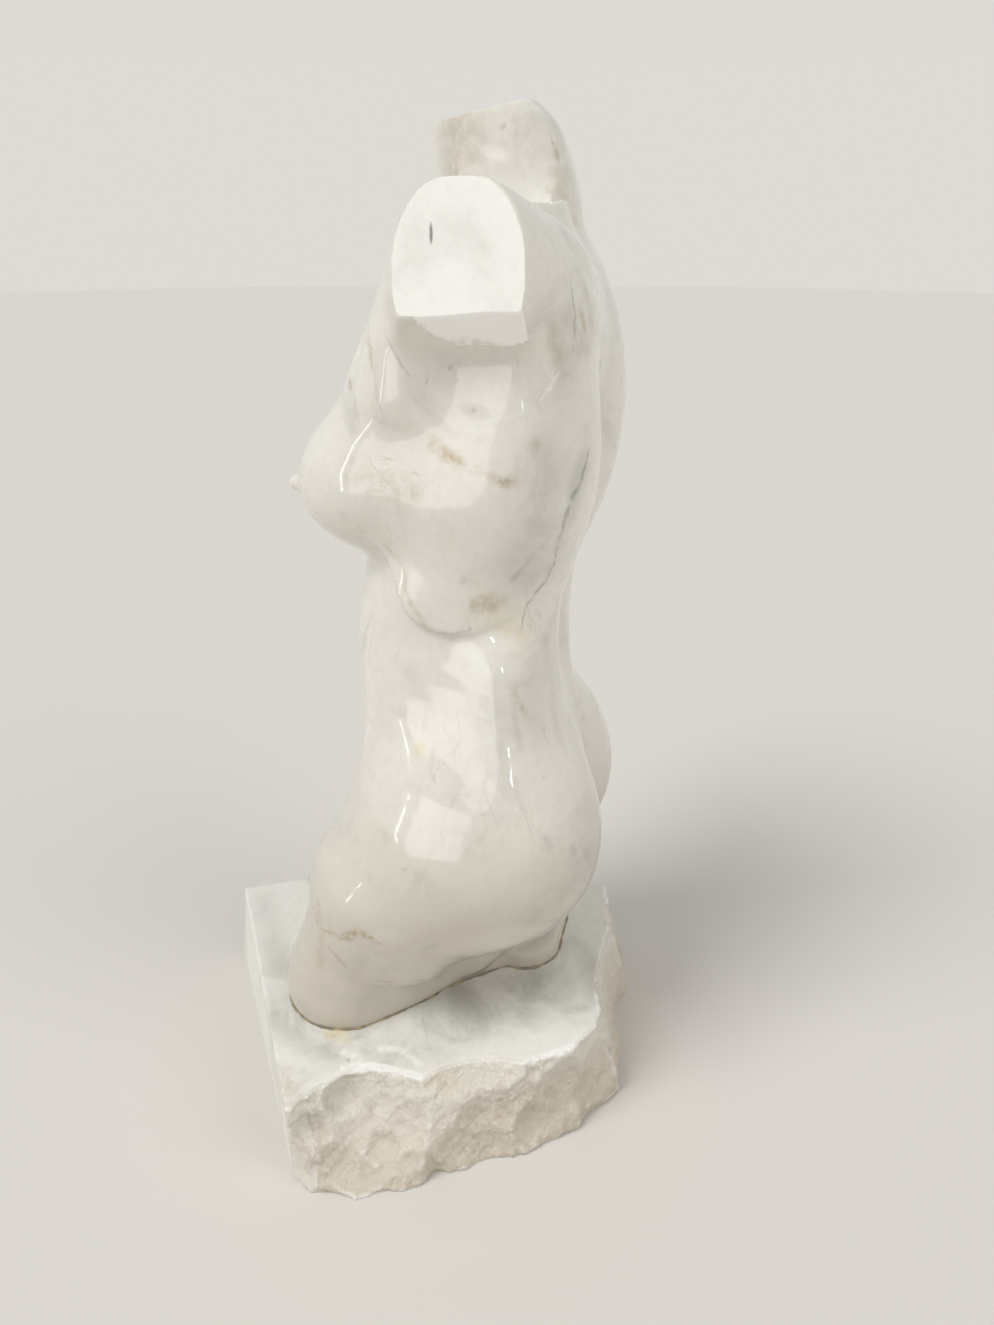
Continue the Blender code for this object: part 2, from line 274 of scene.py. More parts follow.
# %% Arms and neck
NECK_CUT = (0, 48, 363)
NECK_FACING = (0, -0.22, 0.97)
ARM_CUT = (-47, 40, 404)
ARM_FACING = (0, -0.2, 0.98)
STUB_CUT = (72, 47, 350)
STUB_FACING = (0.99, -0.04, 0.1)
STUB_CHAMFER = ((72, 47, 332), (0.66, 0, -0.75))
FOLD = ((53.4, -0.6, 301.3), (51, 1, 311), (51, 4, 319), (52.9, 7.3, 324.4))


def left_arm(p, body):
    """The left arm is held out and sawn off just past the shoulder, with its underside hollowed."""
    hollow = limb(p, (81, 66, 311), (79, 44, 312), 20, 20)
    body = carve(body, hollow, 12.0)
    inwards = np.maximum(72.0 - p[:, 0], 0.0)
    across = (p[:, 1] - 47.5 - 0.12 * inwards) / (24.0 + 0.34 * inwards)
    up = (p[:, 2] - 346.0 + 0.22 * inwards) / 33.3
    round_part = (np.hypot(across, up) - 1.0) * 24.3
    underside = 325.0 - p[:, 2] - inwards * 0.15
    arm = cut(round_part, underside, 6.0)
    arm = cut(arm, plane(p, (72, 47, 377), (-0.2, 0, 0.98)), 2.0)
    arm = cut(arm, 14.0 - p[:, 0], 20.0)
    arm = cut(arm, plane(p, *STUB_CHAMFER), 0.8)
    body = join(body, arm, 8.0)
    for start, end in zip(FOLD, FOLD[1:]):
        body = carve(body, limb(p, start, end, 1.2, 1.2), 5.0)
    return body


def right_arm(p):
    """The right arm is raised beside the missing head and sawn off above the shoulder."""
    arm = column(
        p,
        [
            (290, -40, 62, 24, 27),
            (320, -43, 56, 25, 29),
            (345, -46, 50, 24, 31),
            (372, -48, 45.5, 22.5, 31.5),
            (395, -48, 41, 21.5, 28),
            (425, -48, 34, 20, 21),
        ],
        3.4,
    )
    arm = cut(arm, plane(p, (-47, 60, 406.5), (0, 0.5, 0.87)), 7.0)
    return cut(arm, plane(p, ARM_CUT, ARM_FACING), 1.2)


def neck(p):
    """The root of the neck, cut off low between the arms."""
    root = limb(p, (0, 60, 318), (0, 44, 395), 30, 23)
    return cut(root, plane(p, NECK_CUT, NECK_FACING), 0.8)


# %% [markdown]
# ## Hips, thighs and feet
#
# The figure sits on its heels. The near thigh runs down to a knee that rests on the plinth, and the feet
# lie together behind, under the seat. The stone between the thighs was never cut through.

# %% Hips and legs
def hips(p):
    """Buttocks and thighs, kneeling, with the knees a little apart and stone left between them."""
    left_seat = ball(p, (38, 60, 99), (39, 44, 54))
    right_seat = ball(p, (-36, 62, 97), (36, 42, 52))
    seat = join(left_seat, right_seat, 6.0)
    left_thigh = bent_limb(p, (38, 30, 98), (44, 6, 68), (47, -15, 30), 47, 41, 29)
    right_thigh = bent_limb(p, (-31, 33, 98), (-30, 6, 66), (-28, -17, 28), 42, 37, 28)
    between = bent_limb(p, (6, 3, 26), (2, 40, 60), (-4, 58, 34), 17, 30, 22)
    thighs = join(join(left_thigh, right_thigh, 7.0), between, 8.0)
    under_thigh = bent_limb(p, (46, 12, 45), (45, 34, 60), (39, 53, 72), 29, 25, 19)
    thighs = join(thighs, under_thigh, 10.0)
    hip_edge = bent_limb(p, (43, 57, 184), (53, 62, 142), (56, 74, 112), 11, 12, 14)
    return join(join(seat, thighs, 26.0), hip_edge, 12.0)


def lower_legs(p):
    """Shins along the plinth under the thighs, and the feet together under the seat."""
    left_shin = bent_limb(p, (45.5, -20, 9), (23, 35, 21), (6, 66, 34), 32, 18, 14)
    heel = limb(p, (21, 28, 4), (4, 58, 6), 14, 12)
    left_shin = join(left_shin, heel, 6.0)
    right_shin = limb(p, (-28, -18, 12), (-14, 40, 12), 29, 18)
    feet = limb(p, (-2, 62, 2), (-30, 64, 2), 20.5, 20)
    feet = cut(feet, plane(p, (0, 80, 11), (0.0, 0.12, 0.99)), 5.0)
    return left_shin, right_shin, feet


def figure(p):
    """The whole figure: negative inside, zero on the surface."""
    body = chest(p, back(p, trunk(p)))
    body = join(body, neck(p), 14.0)
    body = join(body, right_arm(p), 14.0)
    body = left_arm(p, body)
    body = join(body, hips(p), 18.0)
    left_shin, right_shin, feet = lower_legs(p)
    body = join(body, right_shin, 16.0)
    body = join(body, left_shin, 8.0)
    body = join(body, feet, 1.5)
    return cut(body, plane(p, STUB_CUT, STUB_FACING), 2.0)


# %% [markdown]
# ## From distances to a mesh
#
# The distances are worked out on a lattice, and only near the skin, where they matter. Each lattice cell
# that the skin crosses gives one vertex, and each lattice edge that it crosses gives one four-sided face.
# The vertices are then slid along the form's slope until they lie on it, so polished stone reflects
# smoothly.

# %% Skin of a form
def near_lattice(form, low, high, step, coarse=4):
    """Distances on a lattice: exact near the skin, rough elsewhere."""
    count = [math.ceil((b - a) / (step * coarse)) for a, b in zip(low, high)]
    wide = np.stack(np.meshgrid(*[np.arange(n + 1) for n in count], indexing="ij"), axis=-1)
    rough = form(wide.reshape(-1, 3) * step * coarse + low).reshape(wide.shape[:3])
    nearest = [np.minimum((np.arange(n * coarse + 1) + coarse // 2) // coarse, n) for n in count]
    field = rough[np.ix_(*nearest)]
    close = np.argwhere(np.abs(field) < step * coarse * 1.3)
    field[tuple(close.T)] = form(close * step + low)
    return field


def skin_cells(field):
    """One vertex for each lattice cell that the surface crosses, as lattice coordinates, and its number."""
    cells = tuple(n - 1 for n in field.shape)
    total = np.zeros(cells + (3,))
    count = np.zeros(cells)
    for axis in range(3):
        u, v = (axis + 1) % 3, (axis + 2) % 3
        low = np.take(field, range(field.shape[axis] - 1), axis)
        high = np.take(field, range(1, field.shape[axis]), axis)
        crossed = (low < 0) != (high < 0)
        t = np.where(crossed, low / np.where(crossed, low - high, 1.0), 0.0)
        for du in (0, 1):
            for dv in (0, 1):
                window = [slice(None)] * 3
                window[u] = slice(du, du + cells[u])
                window[v] = slice(dv, dv + cells[v])
                hit = crossed[tuple(window)]
                count += hit
                total[..., axis] += t[tuple(window)] * hit
                total[..., u] += du * hit
                total[..., v] += dv * hit
    used = count > 0
    corner = np.argwhere(used)
    number = np.full(cells, -1)
    number[used] = np.arange(len(corner))
    return corner + total[used] / count[used][:, None], number


def skin_faces(field, number):
    """A four-sided face for each lattice edge that the surface crosses, facing out."""
    faces = []
    for axis in range(3):
        u, v = (axis + 1) % 3, (axis + 2) % 3
        low = np.take(field, range(field.shape[axis] - 1), axis) < 0
        high = np.take(field, range(1, field.shape[axis]), axis) < 0
        edges = np.argwhere(low != high)
        edges = edges[(edges[:, u] > 0) & (edges[:, v] > 0)]
        ring = []
        for du, dv in ((-1, -1), (0, -1), (0, 0), (-1, 0)):
            cell = edges.copy()
            cell[:, u] += du
            cell[:, v] += dv
            ring.append(number[tuple(cell.T)])
        quads = np.stack(ring, axis=1)
        leaving = low[tuple(edges.T)]
        quads[~leaving] = quads[~leaving][:, ::-1]
        faces.append(quads)
    return np.concatenate(faces)


def settle(points, form, rounds=2):
    """Moves points along the form's slope onto its surface."""
    reach = 0.2
    for _ in range(rounds):
        value = form(points)
        slope = np.stack(
            [form(points + reach * step) - form(points - reach * step) for step in np.eye(3)], axis=1
        ) / (2 * reach)
        size = np.maximum((slope * slope).sum(1), 0.05)
        points = points - np.clip(value / size, -2.0, 2.0)[:, None] * slope
    return points


def skin_of(form, low, high, step):
    """Vertices and faces of a form's surface."""
    low = np.array(low, float)
    field = near_lattice(form, low, high, step)
    spots, number = skin_cells(field)
    return settle(low + spots * step, form), skin_faces(field, number)


# %% Mesh helpers
DOWN = Vector((0, 0, -1))
SAWN_SLOT = 1


def placed(name, data):
    """An object in the scene, at the origin, with the given mesh or light."""
    made = bpy.data.objects.new(name, data)
    bpy.context.scene.collection.objects.link(made)
    return made


def mesh_object(name, points, faces):
    """An object at the origin, with its place in its mesh."""
    mesh = bpy.data.meshes.new(name)
    mesh.from_pydata(points.tolist(), [], faces.tolist())
    return placed(name, mesh)


def shade_smooth(bm):
    """Smooth shading on every face."""
    for face in bm.faces:
        face.smooth = True


def write_values(piece, name, values):
    """Stores one value for each vertex, for the materials and node trees to read."""
    attribute = piece.data.attributes.new(name, "FLOAT", "POINT")
    attribute.data.foreach_set("value", values.astype(np.float32))


def vertex_places(piece):
    """The places of a piece's vertices, one in each row."""
    places = np.empty(len(piece.data.vertices) * 3)
    piece.data.vertices.foreach_get("co", places)
    return places.reshape(-1, 3)


def saw(bm, point, normal, slot):
    """Saws off what lies beyond a plane and closes the cut with one flat, sharp-edged face."""
    everything = bm.verts[:] + bm.edges[:] + bm.faces[:]
    done = bmesh.ops.bisect_plane(
        bm, geom=everything, dist=1e-7, plane_co=point, plane_no=normal, clear_outer=True
    )
    rim = [g for g in done["geom_cut"] if isinstance(g, bmesh.types.BMEdge)]
    caps = bmesh.ops.contextual_create(bm, geom=rim)["faces"]
    for edge in rim:
        edge.smooth = False
    for face in caps:
        face.smooth = False
        face.material_index = slot
    bmesh.ops.triangulate(bm, faces=caps)
    return len(rim)


# %% [markdown]
# ## The torso
#
# A fine lattice step keeps the ribs' lip and the stub's chamfer crisp. Hand polishing leaves slow waves
# that a ruler would find and that make a reflection wander, so the skin gets waves of a sixth of a
# millimetre. The stub's lower edge was chipped by the saw: small bites follow it, placed by a seeded
# random choice.

# %% Chips on the stub
rng = np.random.default_rng(11)
stub_chips = []
for k in range(16):
    along = 34.0 + 38.0 * (k + rng.random()) / 16
    size = rng.uniform(0.9, 2.4) if along > 52 else rng.uniform(0.5, 1.1)
    stub_chips.append(((70.2 + rng.uniform(-1.2, 1.4), along, 326.8 + rng.uniform(-1.0, 1.6)), size))
print("stub chips", len(stub_chips))


def torso_form(p):
    """The figure with its chipped stub."""
    body = figure(p)
    close = (p[:, 0] > 60.0) & (np.abs(p[:, 2] - 327.0) < 12.0)
    spots, value = p[close], body[close]
    for centre, size in stub_chips:
        value = carve(value, ball(spots, centre, (size, size * 1.4, size)), 0.5)
    body[close] = value
    return body


def polish_waves(p):
    """Slow unevenness left by hand polishing, in millimetres."""
    x, y, z = p.T
    slow = np.sin(0.17 * x + 0.11 * z + 1.3) * np.sin(0.15 * y - 0.09 * z + 0.4)
    quick = np.sin(0.31 * z + 0.23 * y + 2.0) * np.sin(0.27 * x - 0.19 * z + 0.7)
    return 0.16 * slow + 0.07 * quick


# %% Torso skin
TORSO_STEP = 1.7
points, faces = skin_of(torso_form, (-88, -60, -9), (88, 112, 417), TORSO_STEP)
points = settle(points, lambda p: torso_form(p) - polish_waves(p))
torso = mesh_object("marble_torso", points * MM + np.array(FIGURE_ZERO), faces)
print("torso skin", len(points), "vertices")

# %% Saw the flat places
bm = bmesh.new()
bm.from_mesh(torso.data)
shade_smooth(bm)
SAW_DEPTH = 0.5
saw(bm, FIGURE_ZERO + (Vector(STUB_CUT) - Vector((SAW_DEPTH, 0, 0))) * MM, Vector(STUB_FACING), SAWN_SLOT)
arm_facing = Vector(ARM_FACING).normalized()
saw(bm, FIGURE_ZERO + (Vector(ARM_CUT) - arm_facing * SAW_DEPTH) * MM, arm_facing, SAWN_SLOT)
neck_place = FIGURE_ZERO + Vector(NECK_CUT) * MM
neck_facing = Vector(NECK_FACING).normalized()
for face in bm.faces:
    above = (face.calc_center_median() - neck_place).dot(neck_facing)
    if face.normal.dot(neck_facing) > 0.97 and abs(above) < 0.0006:
        face.material_index = SAWN_SLOT
foot_edges = saw(bm, Vector((0, 0, torso_low[2])), DOWN, SAWN_SLOT)
bm.to_mesh(torso.data)
bm.free()
x, y, z = ((vertex_places(torso) - np.array(FIGURE_ZERO)) / MM).T
on_chamfer = np.clip(1.9 - np.abs(plane(np.stack([x, y, z], axis=1), *STUB_CHAMFER)), 0.0, 1.0)
under_stub = np.clip((21.0 - np.abs(y - 51.0)) / 3.0, 0.0, 1.0) * (x > 62.0) * (np.abs(z - 329.0) < 8.0)
write_values(torso, "chalk", on_chamfer * under_stub)
print("torso faces", len(torso.data.polygons), "foot line edges", foot_edges)

# %% [markdown]
# ## The plinth
#
# The slab is a polygon that flares towards its foot. Stone is split off with a pitching tool, and each
# blow takes a shell-shaped scoop. So the split sides are the polygon with a few hundred shallow balls
# carved out of it: large ones for the broad facets, small ones for the crumbled edges.

# %% Plinth outline
# A corner is its top's x and y, its foot's x and y, and how rough the side after it is, all in millimetres.
PLINTH_CORNERS = (
    (-52, -109, -56, -117, 0.0),
    (96, -28, 88, -32, 0.25),
    (93, -17, 99, -17, 1.0),
    (76, -9, 99, -4, 1.0),
    (65, 2, 92, 14, 1.0),
    (68, 28, 88, 35, 1.0),
    (59, 52, 70, 52, 1.0),
    (53, 72, 60, 74, 1.0),
    (38, 95, 40, 99, 1.0),
    (27, 110, 10, 119, 1.0),
    (0, 104, -9, 119, 1.0),
    (-22, 103, -36, 116, 1.0),
    (-57, 107, -60, 119, 1.0),
    (-91, 101, -98, 112, 0.35),
    (-104, 40, -108, 40, 0.1),
    (-95, -20, -98, -22, 0.1),
)
PLINTH_WIDTH = 0.207
PLINTH_DEPTH = 0.236
drawn = np.array(PLINTH_CORNERS, float)
drawn_low = np.minimum(drawn[:, :2].min(0), drawn[:, 2:4].min(0))
drawn_high = np.maximum(drawn[:, :2].max(0), drawn[:, 2:4].max(0))
fit = np.array([PLINTH_WIDTH, PLINTH_DEPTH]) / (drawn_high - drawn_low) / MM
tops = (drawn[:, :2] - (drawn_low + drawn_high) / 2) * fit
feet = (drawn[:, 2:4] - (drawn_low + drawn_high) / 2) * fit
HEIGHT = PLINTH_TOP / MM


def nearest_side(p):
    """Distance to the slab's leaning sides, negative inside, and the number of the nearest side."""
    level = 1.0 - (1.0 - np.clip(p[:, 2] / HEIGHT, 0.0, 1.0)[:, None]) ** 1.3
    best = np.full(len(p), np.inf)
    number = np.zeros(len(p), int)
    inside = np.zeros(len(p), bool)
    x, y = p[:, 0], p[:, 1]
    for i in range(len(drawn)):
        j = (i + 1) % len(drawn)
        a = feet[i] + (tops[i] - feet[i]) * level
        b = feet[j] + (tops[j] - feet[j]) * level
        side = b - a
        reach = p[:, :2] - a
        t = np.clip((reach * side).sum(1) / (side * side).sum(1), 0.0, 1.0)
        away = np.linalg.norm(reach - side * t[:, None], axis=1)
        number[away < best] = i
        best = np.minimum(best, away)
        crosses = (a[:, 1] > y) != (b[:, 1] > y)
        rise = np.where(crosses, b[:, 1] - a[:, 1], 1.0)
        inside ^= crosses & (x < a[:, 0] + (y - a[:, 1]) / rise * side[:, 0])
    return np.where(inside, -best, best), number


print("plinth corners", len(drawn), "height", round(HEIGHT, 1), "mm")

# %% Scoops
rng = np.random.default_rng(4)
split_sides = [i for i in range(len(drawn)) if drawn[i, 4] > 0.3]
scoops = []


def add_scoop(i, t, level, half_width, depth):
    """One shell-shaped scoop on side i, as wide and deep as asked."""
    j = (i + 1) % len(drawn)
    top = tops[i] + (tops[j] - tops[i]) * t
    foot = feet[i] + (feet[j] - feet[i]) * t
    spot = foot + (top - foot) * level
    along = (feet[j] - feet[i]) / np.linalg.norm(feet[j] - feet[i])
    outward = np.array([along[1], -along[0], rng.uniform(-0.2, 0.6)])
    outward /= np.linalg.norm(outward)
    radius = (half_width**2 + depth**2) / (2 * depth)
    radii = radius * rng.uniform(0.75, 1.3, 3)
    reach = 1.0 / np.linalg.norm(outward / radii) - depth
    scoops.append((np.array([spot[0], spot[1], level * HEIGHT]) + outward * reach, radii))


for i in split_sides:
    run = np.linalg.norm(feet[(i + 1) % len(drawn)] - feet[i])
    for level in (0.25, 0.72):
        t = rng.uniform(0.4, 0.6)
        height = level + rng.uniform(-0.08, 0.08)
        add_scoop(i, t, height, 0.48 * run, rng.uniform(1.6, 3.2))
for count, size, depth in ((110, (4, 10), (0.9, 2.3)), (200, (1.6, 4.0), (0.35, 0.9))):
    for k in range(count):
        i = split_sides[rng.integers(len(split_sides))]
        add_scoop(i, rng.random(), rng.random(), rng.uniform(*size), rng.uniform(*depth))
for t in np.linspace(0.02, 0.98, 46):
    i = split_sides[int(t * len(split_sides))]
    add_scoop(i, rng.random(), 0.99, rng.uniform(1.8, 5.5), rng.uniform(0.6, 1.6))
print("scoops", len(scoops))

NEAR_DENT = (88, -4, 46)
SET_BACK = ((90, 33, 28), (84, 38, -8))
FAR_NOTCH = (-20, 108, 50)


def plinth_form(p):
    """The slab with its scooped sides."""
    stone, _ = nearest_side(p)
    stone = join(stone, ball(p, (-42, 98, 30), (36, 19, 21)), 3.0)
    stone = carve(stone, ball(p, NEAR_DENT, (15, 13, 15)), 4.0)
    stone = carve(stone, limb(p, *SET_BACK, 5, 7), 2.0)
    stone = carve(stone, ball(p, FAR_NOTCH, (26, 7, 12)), 1.5)
    for centre, radii in scoops:
        reach = radii.max() + 4.0
        near = np.flatnonzero((np.abs(p[:, 0] - centre[0]) < reach) & (np.abs(p[:, 1] - centre[1]) < reach))
        if len(near):
            stone[near] = carve(stone[near], ball(p[near], centre, radii), 0.3)
    return np.maximum(cut(stone, p[:, 2] - HEIGHT, 0.6), -p[:, 2])


# %% Plinth skin
PLINTH_STEP = 1.25
edge = 6.0
low = [feet[:, 0].min() - edge, feet[:, 1].min() - edge, -3.2]
high = [feet[:, 0].max() + edge, feet[:, 1].max() + edge, HEIGHT + 3.0]
points, faces = skin_of(plinth_form, low, high, PLINTH_STEP)
plinth = mesh_object("marble_plinth", points * MM, faces)
print("plinth skin", len(points), "vertices")

# %% Where the plinth is split, and its flat foot
side_distance, side_number = nearest_side(points)
roughness = drawn[side_number, 4]
below_rim = HEIGHT - points[:, 2]
on_side = np.clip((below_rim - 0.25) / 0.6, 0.0, 1.0) * np.clip((points[:, 2] - 0.4) / 1.5, 0.0, 1.0)
write_values(plinth, "split", roughness * on_side)
near_rim = np.clip(1.0 - np.hypot(side_distance / 3.6, below_rim / 4.0), 0.0, 1.0)
write_values(plinth, "bruise", near_rim * np.clip(roughness * 1.6, 0.15, 1.0))
bm = bmesh.new()
bm.from_mesh(plinth.data)
shade_smooth(bm)
saw(bm, Vector((0, 0, 0.00005)), DOWN, 0)
bm.to_mesh(plinth.data)
bm.free()
lowest = min(v.co.z for v in plinth.data.vertices)
for v in plinth.data.vertices:
    v.co.z -= lowest if v.co.z < lowest + 1e-6 else 0.0
print("plinth faces", len(plinth.data.polygons))

# %% [markdown]
# ## Geometry Nodes
#
# Two things follow a rule, so node trees make them: the sugary grain of split marble, which follows the
# split sides and is drawn out along the way the stone broke, and the line of old glue, which follows the
# figure's foot. A tree's inputs are named, and a modifier finds them by their identifiers. Each result is
# baked into a plain mesh, because the export drops modifiers' instances.

# %% Tree helpers
def new_tree(name, inputs):
    """An empty geometry tree with named inputs, its group input and its group output."""
    tree = bpy.data.node_groups.new(name, "GeometryNodeTree")
    tree.interface.new_socket("Geometry", in_out="INPUT", socket_type="NodeSocketGeometry")
    for label, kind, value in inputs:
        socket = tree.interface.new_socket(label, in_out="INPUT", socket_type="NodeSocket" + kind)
        if value is not None:
            socket.default_value = value
    tree.interface.new_socket("Geometry", in_out="OUTPUT", socket_type="NodeSocketGeometry")
    return tree, tree.nodes.new("NodeGroupInput"), tree.nodes.new("NodeGroupOutput")


def add(tree, kind, inputs=None, **settings):
    """A node with its settings, and its inputs given as values or as sockets to link from."""
    made = tree.nodes.new(kind)
    for key, value in settings.items():
        setattr(made, key, value)
    for key, value in (inputs or {}).items():
        if isinstance(value, bpy.types.NodeSocket):
            tree.links.new(value, made.inputs[key])
        else:
            made.inputs[key].default_value = value
    return made


def maths(tree, operation, a, b=0.0):
    """The result socket of a Math node, in a geometry tree or a shader tree."""
    return add(tree, "ShaderNodeMath", {0: a, 1: b}, operation=operation).outputs[0]


def times(tree, a, b):
    """The product of two values."""
    return maths(tree, "MULTIPLY", a, b)


def plus(tree, a, b):
    """The sum of two values."""
    return maths(tree, "ADD", a, b)


def vectors(tree, operation, a, b=(0.0, 0.0, 0.0)):
    """The result of a Vector Math node: a value for a dot product or a length, else a vector."""
    made = add(tree, "ShaderNodeVectorMath", {0: a, 1: b}, operation=operation)
    return made.outputs["Value" if operation in ("DOT_PRODUCT", "LENGTH") else "Vector"]


def scaled(tree, vector, share):
    """A vector times a value."""
    made = add(tree, "ShaderNodeVectorMath", {0: vector, "Scale": share}, operation="SCALE")
    return made.outputs["Vector"]


def finish_tree(tree, geometry, material, end):
    """Ends a tree as the export needs it: instances made real, then the material set."""
    real = add(tree, "GeometryNodeRealizeInstances", {"Geometry": geometry})
    dressed = add(tree, "GeometryNodeSetMaterial", {"Geometry": real.outputs[0], "Material": material})
    tree.links.new(dressed.outputs[0], end.inputs[0])


def run_tree(piece, tree, values):
    """Runs a tree on a piece with the given values, and keeps the result as a plain mesh."""
    modifier = piece.modifiers.new(tree.name, "NODES")
    modifier.node_group = tree
    for item in tree.interface.items_tree:
        if item.in_out == "INPUT" and item.name in values:
            modifier[item.identifier] = values[item.name]
    bpy.context.view_layer.update()
    graph = bpy.context.evaluated_depsgraph_get()
    plain = bpy.data.meshes.new_from_object(piece.evaluated_get(graph))
    piece.modifiers.clear()
    piece.data = plain
    print(tree.name, "made", len(plain.polygons), "faces")


# %% Grain of split stone
tree, start, end = new_tree(
    "split grain",
    [
        ("Grain size", "Float", 0.003),
        ("Grain depth", "Float", 0.0005),
        ("Furrows", "Float", 1.7),
        ("Seed", "Float", 3.0),
        ("Material", "Material", None),
    ],
)
rate = maths(tree, "DIVIDE", 1.0, start.outputs["Grain size"])
seeded = {"Scale": rate, "W": start.outputs["Seed"]}
coarse = add(tree, "ShaderNodeTexNoise", {**seeded, "Detail": 3.0}, noise_dimensions="4D")
cells = add(tree, "ShaderNodeTexVoronoi", seeded, voronoi_dimensions="4D")
relief = maths(tree, "SUBTRACT", coarse.outputs[0], times(tree, cells.outputs["Distance"], 0.6))
spot = add(tree, "GeometryNodeInputPosition").outputs[0]
lay = (0.55, -0.66, -0.51)
along_lay = times(tree, vectors(tree, "DOT_PRODUCT", spot, lay), -0.86)
drawn_out = vectors(tree, "ADD", spot, scaled(tree, lay, along_lay))
streaks = {"Vector": drawn_out, "Scale": 260.0, "Detail": 3.0, "Roughness": 0.6}
furrows = add(tree, "ShaderNodeTexNoise", streaks)
relief = plus(tree, relief, times(tree, furrows.outputs[0], start.outputs["Furrows"]))
depth = times(tree, relief, start.outputs["Grain depth"])
where_split = add(tree, "GeometryNodeInputNamedAttribute", {"Name": "split"}, data_type="FLOAT")
depth = times(tree, depth, where_split.outputs[0])
move = scaled(tree, add(tree, "GeometryNodeInputNormal").outputs[0], depth)
moved = add(tree, "GeometryNodeSetPosition", {"Geometry": start.outputs["Geometry"], "Offset": move})
finish_tree(tree, moved.outputs[0], start.outputs["Material"], end)
grain_tree = tree

# %% Line of old glue
tree, start, end = new_tree(
    "glue line",
    [
        ("Thickness", "Float", 0.0006),
        ("Lump size", "Float", 0.004),
        ("Seed", "Float", 5.0),
        ("Material", "Material", None),
    ],
)
path = add(tree, "GeometryNodeMeshToCurve", {"Mesh": start.outputs["Geometry"]})
even = add(tree, "GeometryNodeResampleCurve", {"Curve": path.outputs[0], "Length": 0.0012}, mode="LENGTH")
rate = maths(tree, "DIVIDE", 1.0, start.outputs["Lump size"])
seeded = {"Scale": rate, "W": start.outputs["Seed"], "Detail": 2.0}
lumps = add(tree, "ShaderNodeTexNoise", seeded, noise_dimensions="4D")
swell = times(tree, maths(tree, "POWER", lumps.outputs[0], 2.0), 3.2)
width = times(tree, swell, start.outputs["Thickness"])
round_wire = add(tree, "GeometryNodeCurvePrimitiveCircle", {"Resolution": 7, "Radius": 1.0}, mode="RADIUS")
bead = add(
    tree,
    "GeometryNodeCurveToMesh",
    {"Curve": even.outputs[0], "Profile Curve": round_wire.outputs[0], "Scale": width},
)
finish_tree(tree, bead.outputs[0], start.outputs["Material"], end)
glue_tree = tree
print("trees", grain_tree.name, "and", glue_tree.name)

# %% [markdown]
# ## Where the photograph shows a mark
#
# Real marble is known by its marks: a rust line, a grey smear, a scratch. Each is given here as a path of
# pixels in the photograph. A ray from the camera through each pixel finds the spot on the stone. Every
# vertex close to the path then stores its signed distance across the path, because a distance stays true
# between vertices and so can draw a line finer than the mesh. Broad stains are stored as a plain
# strength, and so are broad patches of painted shade, in hollows and on sides turned from the light, and a
# painted highlight along the near shoulder's ridge.

# %% Finding marks
def new_marks(piece):
    """The piece's vertices, a tree to cast rays at, and the attributes that its marks will fill."""
    tree = BVHTree.FromObject(piece, bpy.context.evaluated_depsgraph_get())
    return {"piece": piece, "places": vertex_places(piece), "tree": tree, "values": {}}


def spots_of(marks, pixels):
    """Places on the stone, and the skin's directions there, for a path of pixels."""
    found = []
    for u, v in pixels:
        place, outward, _, _ = marks["tree"].ray_cast(camera_place, ray_through(u, v))
        if place is not None:
            found.append((np.array(place), np.array(outward)))
    return found


def line(marks, family, width, strength, *pixels):
    """Stores a line, with its width in millimetres, along a path of pixels."""
    count = len(marks["places"])
    across = marks["values"].setdefault(family + "_across", np.full(count, 9.0))
    shade = marks["values"].setdefault(family + "_line", np.zeros(count))
    found = spots_of(marks, pixels)
    for k, ((a, a_out), (b, b_out)) in enumerate(zip(found, found[1:])):
        along = b - a
        length = np.linalg.norm(along)
        if length > 0.05 or length < 1e-5:
            continue
        near = np.flatnonzero(np.abs(marks["places"] - (a + b) / 2).max(1) < length / 2 + 0.006)
        q = marks["places"][near] - a
        t = np.clip(q @ along / length**2, 0.0, 1.0)
        away = q - t[:, None] * along
        distance = np.linalg.norm(away, axis=1) / MM
        side = np.where(away @ np.cross(a_out + b_out, along) < 0, -1.0, 1.0)
        share = (k + t) / (len(found) - 1)
        taper = 0.35 + 0.65 * np.sin(np.pi * np.clip(share, 0.02, 0.98))
        signed = side * distance / (1.5 * width * taper)
        closer = np.abs(signed) < np.abs(across[near])
        across[near[closer]] = signed[closer]
        shade[near[closer]] = (0.7 * strength * np.clip(2.0 - distance / 2.5, 0.0, 1.0))[closer]


def stain_and_shade(marks, family, radius, strength, *pixels):
    """Stores a soft patch, with its radius in millimetres, along a path of pixels: a stain, painted shade
    or a painted highlight.
    """
    shade = marks["values"].setdefault(family + "_stain", np.zeros(len(marks["places"])))
    found = spots_of(marks, pixels)
    ends = found[1:] or found
    for (a, _), (b, _) in zip(found, ends):
        along = b - a
        if np.linalg.norm(along) > 0.05:
            continue
        q = marks["places"] - a
        t = np.clip(q @ along / max(along @ along, 1e-12), 0.0, 1.0)
        distance = np.linalg.norm(q - t[:, None] * along, axis=1) / MM / radius
        shade[:] = np.maximum(shade, strength * np.clip(1.0 - distance * distance, 0.0, 1.0) ** 2)


def specks(marks, radius, strength, *spots):
    """Stores a small dark stain at each pixel."""
    for spot in spots:
        stain_and_shade(marks, "dark", radius, strength, spot)


def keep_marks(marks):
    """Writes the marks as attributes of the piece's mesh."""
    for name, values in sorted(marks["values"].items()):
        write_values(marks["piece"], name, values)
    print(marks["piece"].name, "marks", sorted(marks["values"]))


